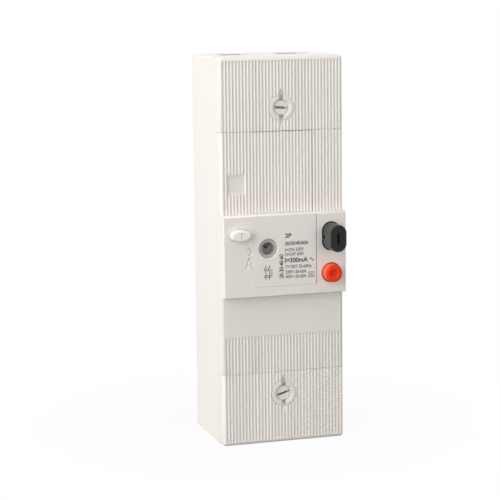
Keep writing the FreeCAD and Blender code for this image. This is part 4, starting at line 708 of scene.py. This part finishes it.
def add_button_faces():
    """Sunk stroke of the ON button and the ring of the OFF button."""
    outline = stadium_loop(*ON_FACE, BUTTON_X, ON_Z, 24)
    stroke = stadium_loop(*ON_STROKE, BUTTON_X, ON_Z, 8)
    # Near-black sheet under the stroke: painted shade.
    floor = plate([outline], thickness=0.05)
    link("on_stroke_painted_shade", stand(floor, ON_FRONT + ON_INSET), STROKE_PAINTED_SHADE, "on_button")
    face = plate([outline, stroke], thickness=0.27, round_edge=0.04)
    link("on_face", stand(face, ON_FRONT + ON_INSET), BLACK_FACE, "on_button")
    circles = [circle_loop(radius, BUTTON_X, OFF_Z) for radius in OFF_RING]
    ring = plate(circles, thickness=0.16, round_edge=0.03)
    link("off_mark", stand(ring, OFF_FRONT + OFF_INSET), RED_MARK, "off_button")


def add_label_print():
    """Plain numbers, ON, OFF and TEST, and a two-pole circuit sign on the label plate."""
    dark = [
        words("2P", 2.9, -0.3, 9.0, width=3.5, bold=0.10),
        words("20/30/40/60A", 2.5, -0.3, 5.0, width=12.3, bold=0.07),
        words("I=300mA", 3.3, -0.4, -3.5, width=12.0, bold=0.10),
        words("20-30-40-60", 2.9, -2.3, -12.4, width=12.1, bold=0.08, turn=90),
    ]
    pale = [
        words("I=ON 230V", 2.3, -0.3, 1.8, width=9.9, bold=0.06),
        words("O=OFF 400V", 2.3, -0.3, -0.55, width=9.9, bold=0.06),
        words("T=TEST 50-60Hz", 2.3, -0.2, -6.8, width=13.8, bold=0.06),
        words("230V~20-60A", 2.3, -0.2, -9.4, width=11.0, bold=0.06),
        words("400V~20-60A", 2.3, -0.2, -11.75, width=11.1, bold=0.06),
    ]
    for name, meshes, material in (
        ("label_print", dark + sign_strokes(), INK),
        ("label_print_pale", pale + frame_strokes(), PALE_INK),
    ):
        link(name, stand(joined(meshes), LABEL + PRINT_SUNK), material, "housing")


def sign_strokes():
    """Circuit sign: two contacts, the sensing ring round both lines and the test branch. Beside it a wave."""
    strokes = []
    for x in SIGN_LINES:
        strokes.append(strip_loop((x, -5.5), (x, -6.8), SIGN_STROKE))
        strokes.append(strip_loop((x - 1.0, -7.0), (x, -8.6), SIGN_STROKE))
        strokes.append(strip_loop((x, -8.6), (x, -12.6), SIGN_STROKE))
        strokes.append(strip_loop((x - 0.5, -6.8), (x + 0.4, -6.8), SIGN_STROKE))
    strokes.append(strip_loop((-11.4, -7.8), (-7.6, -7.8), SIGN_STROKE * 0.8))
    strokes.append(strip_loop((-7.3, -7.8), (-7.3, -11.0), SIGN_STROKE))
    meshes = [plate([stroke], PRINT) for stroke in strokes]
    ring = [ellipse_loop(*half, *SIGN_RING, 40) for half in SIGN_HALVES]
    meshes.append(plate(ring, PRINT))
    x, z = WAVE_PLACE
    shares = [step / WAVE_STEPS for step in range(WAVE_STEPS + 1)]
    wave = [(x + WAVE_LENGTH * share, z + WAVE_HEIGHT * math.sin(2 * math.pi * share)) for share in shares]
    for start, end in zip(wave, wave[1:]):
        meshes.append(plate([strip_loop(start, end, SIGN_STROKE)], PRINT))
    return meshes


def frame_strokes():
    """Small frame beside the last lines."""
    (left, right), (top, bottom) = FRAME_SIDES, FRAME_ENDS
    inside = box_loop((left + FRAME_LINE, right - FRAME_LINE), (top - FRAME_LINE, bottom + FRAME_LINE))
    start, end = ROW_ENDS
    lines = [plate([strip_loop((start, z), (end, z), ROW_STROKE)], PRINT) for z in FRAME_ROWS]
    return [plate([box_loop(FRAME_SIDES, FRAME_ENDS), inside], PRINT)] + lines


# Coil springs of round wire

TRIP_COIL = 6.07                 # diameter of the trip bar's spring, to the middle of its wire
TRIP_WIRE = 0.6
TRIP_TURNS = 3


def helix(diameter, wire, length, turns, start, direction):
    """Round-wire spring with a closed turn at each end."""
    axis = Vector(direction).normalized()
    across = axis.orthogonal().normalized()
    third = axis.cross(across)
    steps, sides = 24, 8
    rings = []
    for step in range(int((turns + 2) * steps) + 1):
        turn = step / steps
        if turn < 1:
            height = wire / 2
        elif turn > turns + 1:
            height = length - wire / 2
        else:
            share = (turn - 1) / turns
            ease = math.sin(2 * math.pi * share) / (2 * math.pi) * 0.15
            height = wire / 2 + (length - wire) * (share - ease)
        angle = 2 * math.pi * turn
        out = across * math.cos(angle) + third * math.sin(angle)
        centre = Vector(start) + out * diameter / 2 + axis * height
        rings.append([centre + (out * math.cos(a) + axis * math.sin(a)) * wire / 2 for a in steps_of(sides)])
    return tube(rings)


def add_springs():
    """Return springs of the three buttons and of the trip bar."""
    rows = (      # name, joint, diameter, wire, turns, start, length and travel
        ("on", "on_button_press", 4.2, 0.6, 5, (BUTTON_X, BACK_INSIDE, ON_Z), BACK_INSIDE - STEM_END, 7.0),
        ("off", "off_button_press", 6.0, 0.5, 4, (BUTTON_X, RIM, OFF_Z), RIM - FLANGE_BACK, 3.0),
        ("test", "test_button_press", 4.8, 0.4, 4, (TEST_X, RIM, TEST_Z), RIM - FLANGE_BACK, 1.8),
    )
    for name, joint, diameter, wire, turns, start, length, travel in rows:
        mesh = helix(diameter, wire, length, turns, start, (0, -1, 0))
        piece = link(name + "_spring_wire", mesh, STEEL, "housing")
        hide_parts(name + "_button_spring")
        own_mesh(piece)
    low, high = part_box("trip_bar_spring")
    centre = (low + high) / 2 / MM
    length = (high.x - low.x) / MM
    start = (low.x / MM, centre.y, centre.z)
    mesh = helix(TRIP_COIL, TRIP_WIRE, length, TRIP_TURNS, start, (1, 0, 0))
    piece = link("trip_spring_wire", mesh, STEEL, "housing")
    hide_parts("trip_bar_spring")


# Wound and woven copper

WINDING_MIDDLE = (0, -17.0, -54.7)
WINDING_TURNS = 34
WINDING_WIRE = 0.98
WINDING_RADIUS = 8.75            # from the middle of the ring to the middle of its section
WINDING_HALF = (2.4, 3.65)       # half the width and height of a turn
WINDING_START = 110              # degrees round the ring
WINDING_SWEEP = 320

BRAID_POINTS = ((-15.71, -7.88), (-8.6, -5.89), (-8.6, -38.9))     # (y, z): contact arm, bend, trip bracket
BRAID_BEND = 2.5
BRAID_STRANDS = 8                # in each direction
BRAID_LAY = 9.0                  # length of one turn of a strand
BRAID_HALF = 1.75                # half the width of the braid
BRAID_LIFT = 0.32                # from its middle plane to a strand
BRAID_WEAVE = 0.10               # how far a strand dips and rises
STRAND_HALF = (0.22, 0.15)       # half the width and thickness of a strand


def softened(value):
    """Pulls a circle out towards a square with round corners."""
    return math.copysign(abs(value) ** 0.45, value)


def add_winding():
    """Enamelled turns round the ring core, open at the back."""
    rings = []
    steps, sides = 24, 6
    total = WINDING_TURNS * steps
    half_out, half_up = WINDING_HALF
    up = Vector((0, 0, 1))
    for step in range(total + 1):
        ring_angle = math.radians(WINDING_START + WINDING_SWEEP * step / total)
        turn = 2 * math.pi * step / steps
        out = Vector((math.cos(ring_angle), math.sin(ring_angle), 0))
        reach = WINDING_RADIUS + half_out * softened(math.cos(turn))
        centre = Vector(WINDING_MIDDLE) + out * reach + up * (half_up * softened(math.sin(turn)))
        away = (out * math.cos(turn) + up * math.sin(turn)).normalized()
        side = away.cross(out.cross(up).cross(away)).normalized()
        around = [away * math.cos(angle) + side * math.sin(angle) for angle in steps_of(sides)]
        rings.append([centre + spoke * WINDING_WIRE / 2 for spoke in around])
    piece = link("winding_turns", tube(rings), COPPER, "housing")
    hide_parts("secondary_winding")


def braid_path(count=90):
    """Points along the braid in the plane of a pole, each with its distance from the start."""
    a, b, c = (Vector(point) for point in BRAID_POINTS)
    back, ahead = (a - b).normalized(), (c - b).normalized()
    half = back.angle(ahead) / 2
    tangent = BRAID_BEND / math.tan(half)
    first, last = b + back * tangent, b + ahead * tangent
    middle = b + (back + ahead).normalized() * BRAID_BEND / math.sin(half)
    arm = first - middle
    sign = 1 if arm.cross(last - middle) > 0 else -1
    straight, curved = (first - a).length, BRAID_BEND * (math.pi - 2 * half)
    whole = straight + curved + (c - last).length
    points = []
    for step in range(count + 1):
        way = whole * step / count
        if way < straight:
            point = a - back * way
        elif way < straight + curved:
            turn = (way - straight) / BRAID_BEND
            cosine, sine = math.cos(turn), sign * math.sin(turn)
            point = middle + Vector((arm.x * cosine - arm.y * sine, arm.x * sine + arm.y * cosine))
        else:
            point = last + ahead * (way - straight - curved)
        points.append((point, way))
    return points


def strand(path, pole, hand, phase):
    """One strand that winds round the flat braid and passes over and under the others."""
    half_wide, half_thick = STRAND_HALF
    wide = Vector((1, 0, 0))
    rings = []
    for index, (point, way) in enumerate(path):
        before, after = path[max(index - 1, 0)][0], path[min(index + 1, len(path) - 1)][0]
        heading = (after - before).normalized()
        normal = Vector((-heading.y, heading.x))
        turn = 2 * math.pi * (hand * way / BRAID_LAY + phase)
        lift = BRAID_LIFT + BRAID_WEAVE * math.sin(8 * math.pi * (way / BRAID_LAY + hand * phase))
        across = BRAID_HALF * math.cos(turn)
        over = lift * math.sin(turn)
        centre = Vector((pole + across, point.x + normal.x * over, point.y + normal.y * over))
        thick = Vector((0, normal.x, normal.y))
        rings.append(
            [centre + wide * half_wide * math.cos(a) + thick * half_thick * math.sin(a) for a in steps_of(6)]
        )
    return tube(rings)


def add_braids():
    """Flat tubular braids between the contact arms and the trip brackets, woven from strands."""
    path = braid_path()
    for name, pole in POLES:
        strands = []
        for hand in (-1, 1):
            for number in range(BRAID_STRANDS):
                strands.append(strand(path, pole, hand, number / BRAID_STRANDS))
        piece = link("woven_braid_" + name, joined(strands), COPPER, None)
        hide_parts("flexible_braid_" + name)
        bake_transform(piece)


# Camera, light and ground

def add_camera():
    yaw, pitch, roll = (math.radians(angle) for angle in (CAMERA_YAW, CAMERA_PITCH, CAMERA_ROLL))
    ahead = Vector((math.sin(yaw) * math.cos(pitch), math.cos(yaw) * math.cos(pitch), -math.sin(pitch)))
    right = Vector((math.cos(yaw), -math.sin(yaw), 0))
    down = ahead.cross(right)
    across = math.cos(roll) * right + math.sin(roll) * down
    below = -math.sin(roll) * right + math.cos(roll) * down
    turn = Matrix((across, -below, -ahead)).transposed().to_4x4()
    data = bpy.data.cameras.new("camera")
    data.sensor_width = SENSOR
    data.lens = FOCAL_PIXELS / IMAGE_PIXELS * SENSOR
    data.clip_start = 0.01
    data.clip_end = 50
    camera = bpy.data.objects.new("camera", data)
    camera.matrix_world = Matrix.Translation(Vector(CAMERA_PLACE) * MM) @ turn
    bpy.context.scene.collection.objects.link(camera)
    bpy.context.scene.camera = camera


def add_light(name, place, size, radiance):
    """Soft box with a given radiance."""
    data = bpy.data.lights.new(name, "AREA")
    data.shape = "RECTANGLE"
    data.size, data.size_y = size
    data.energy = radiance * math.pi * size[0] * size[1]
    lamp = bpy.data.objects.new(name, data)
    lamp.location = place
    lamp.rotation_euler = (Vector(LAMP_AIM) - Vector(place)).to_track_quat("-Z", "Y").to_euler()
    bpy.context.scene.collection.objects.link(lamp)


def background_share(tree):
    """1 for the rays that should see the white background."""
    path = tree.nodes.new("ShaderNodeLightPath")
    total = path.outputs["Is Camera Ray"]
    for name in ("Is Glossy Ray", "Is Transmission Ray"):
        highest = tree.nodes.new("ShaderNodeMath")
        highest.operation = "MAXIMUM"
        tree.links.new(total, highest.inputs[0])
        tree.links.new(path.outputs[name], highest.inputs[1])
        total = highest.outputs["Value"]
    return total


def add_world():
    """Even light from all round, and a white background."""
    world = bpy.data.worlds.new("studio")
    world.use_nodes = True
    tree = world.node_tree
    tree.nodes.clear()
    soft = tree.nodes.new("ShaderNodeBackground")
    soft.inputs["Color"].default_value = (1.0, 0.992, 0.98, 1)
    soft.inputs["Strength"].default_value = AMBIENT
    white = tree.nodes.new("ShaderNodeBackground")
    white.inputs["Color"].default_value = (1, 1, 1, 1)
    white.inputs["Strength"].default_value = 1.0
    mix = tree.nodes.new("ShaderNodeMixShader")
    tree.links.new(background_share(tree), mix.inputs["Fac"])
    tree.links.new(soft.outputs["Background"], mix.inputs[1])
    tree.links.new(white.outputs["Background"], mix.inputs[2])
    out = tree.nodes.new("ShaderNodeOutputWorld")
    tree.links.new(mix.outputs["Shader"], out.inputs["Surface"])
    bpy.context.scene.world = world


def floor_material():
    """Pale grey at the foot of the object, turning into the white background."""
    material, tree, shader = new_material("floor", (FLOOR_GREY, FLOOR_GREY, FLOOR_GREY), 0.9, specular=0.0)
    glow = tree.nodes.new("ShaderNodeEmission")
    glow.inputs["Color"].default_value = (1, 1, 1, 1)
    tree.links.new(background_share(tree), glow.inputs["Strength"])
    place = tree.nodes.new("ShaderNodeTexCoord")
    reach = tree.nodes.new("ShaderNodeVectorMath")
    reach.operation = "LENGTH"
    tree.links.new(place.outputs["Object"], reach.inputs[0])
    near, far = FLOOR_FADE
    fade = tree.nodes.new("ShaderNodeMapRange")
    fade.interpolation_type = "SMOOTHSTEP"
    fade.inputs["From Min"].default_value = near * MM
    fade.inputs["From Max"].default_value = far * MM
    fade.inputs["To Min"].default_value = FOOT_WHITE
    fade.inputs["To Max"].default_value = 1.0
    tree.links.new(reach.outputs["Value"], fade.inputs["Value"])
    seen = tree.nodes.new("ShaderNodeMath")
    seen.operation = "MULTIPLY"
    tree.links.new(background_share(tree), seen.inputs[0])
    tree.links.new(fade.outputs["Result"], seen.inputs[1])
    mix = tree.nodes.new("ShaderNodeMixShader")
    tree.links.new(seen.outputs["Value"], mix.inputs["Fac"])
    tree.links.new(shader.outputs["BSDF"], mix.inputs[1])
    tree.links.new(glow.outputs["Emission"], mix.inputs[2])
    tree.links.new(mix.outputs["Shader"], tree.nodes["Material Output"].inputs["Surface"])
    return material


def add_floor():
    """Wide floor that keeps a faint shadow."""
    half = FLOOR_SIZE * MM / 2
    mesh = bpy.data.meshes.new("floor")
    corners = [(-half, -half, 0), (half, -half, 0), (half, half, 0), (-half, half, 0)]
    mesh.from_pydata(corners, [], [(0, 1, 2, 3)])
    floor = bpy.data.objects.new("floor", mesh)
    floor.location.z = FLOOR_Z * MM
    bpy.context.scene.collection.objects.link(floor)
    mesh.materials.append(floor_material())


finish_nodes()
for node, width in SOFT_EDGES.items():
    soften(node, width)
carve_panel()
carve_screws()
carve_seals()
add_seal_rims()
add_selector_mark()
add_test_mark()
add_button_faces()
add_label_print()
add_springs()
add_winding()
add_braids()
add_camera()
add_world()
add_floor()
add_light("key", **KEY)
add_light("top", **TOP)
add_light("front", **FRONT)
add_light("back", **BACK)
bpy.context.scene.view_settings.view_transform = "Standard"
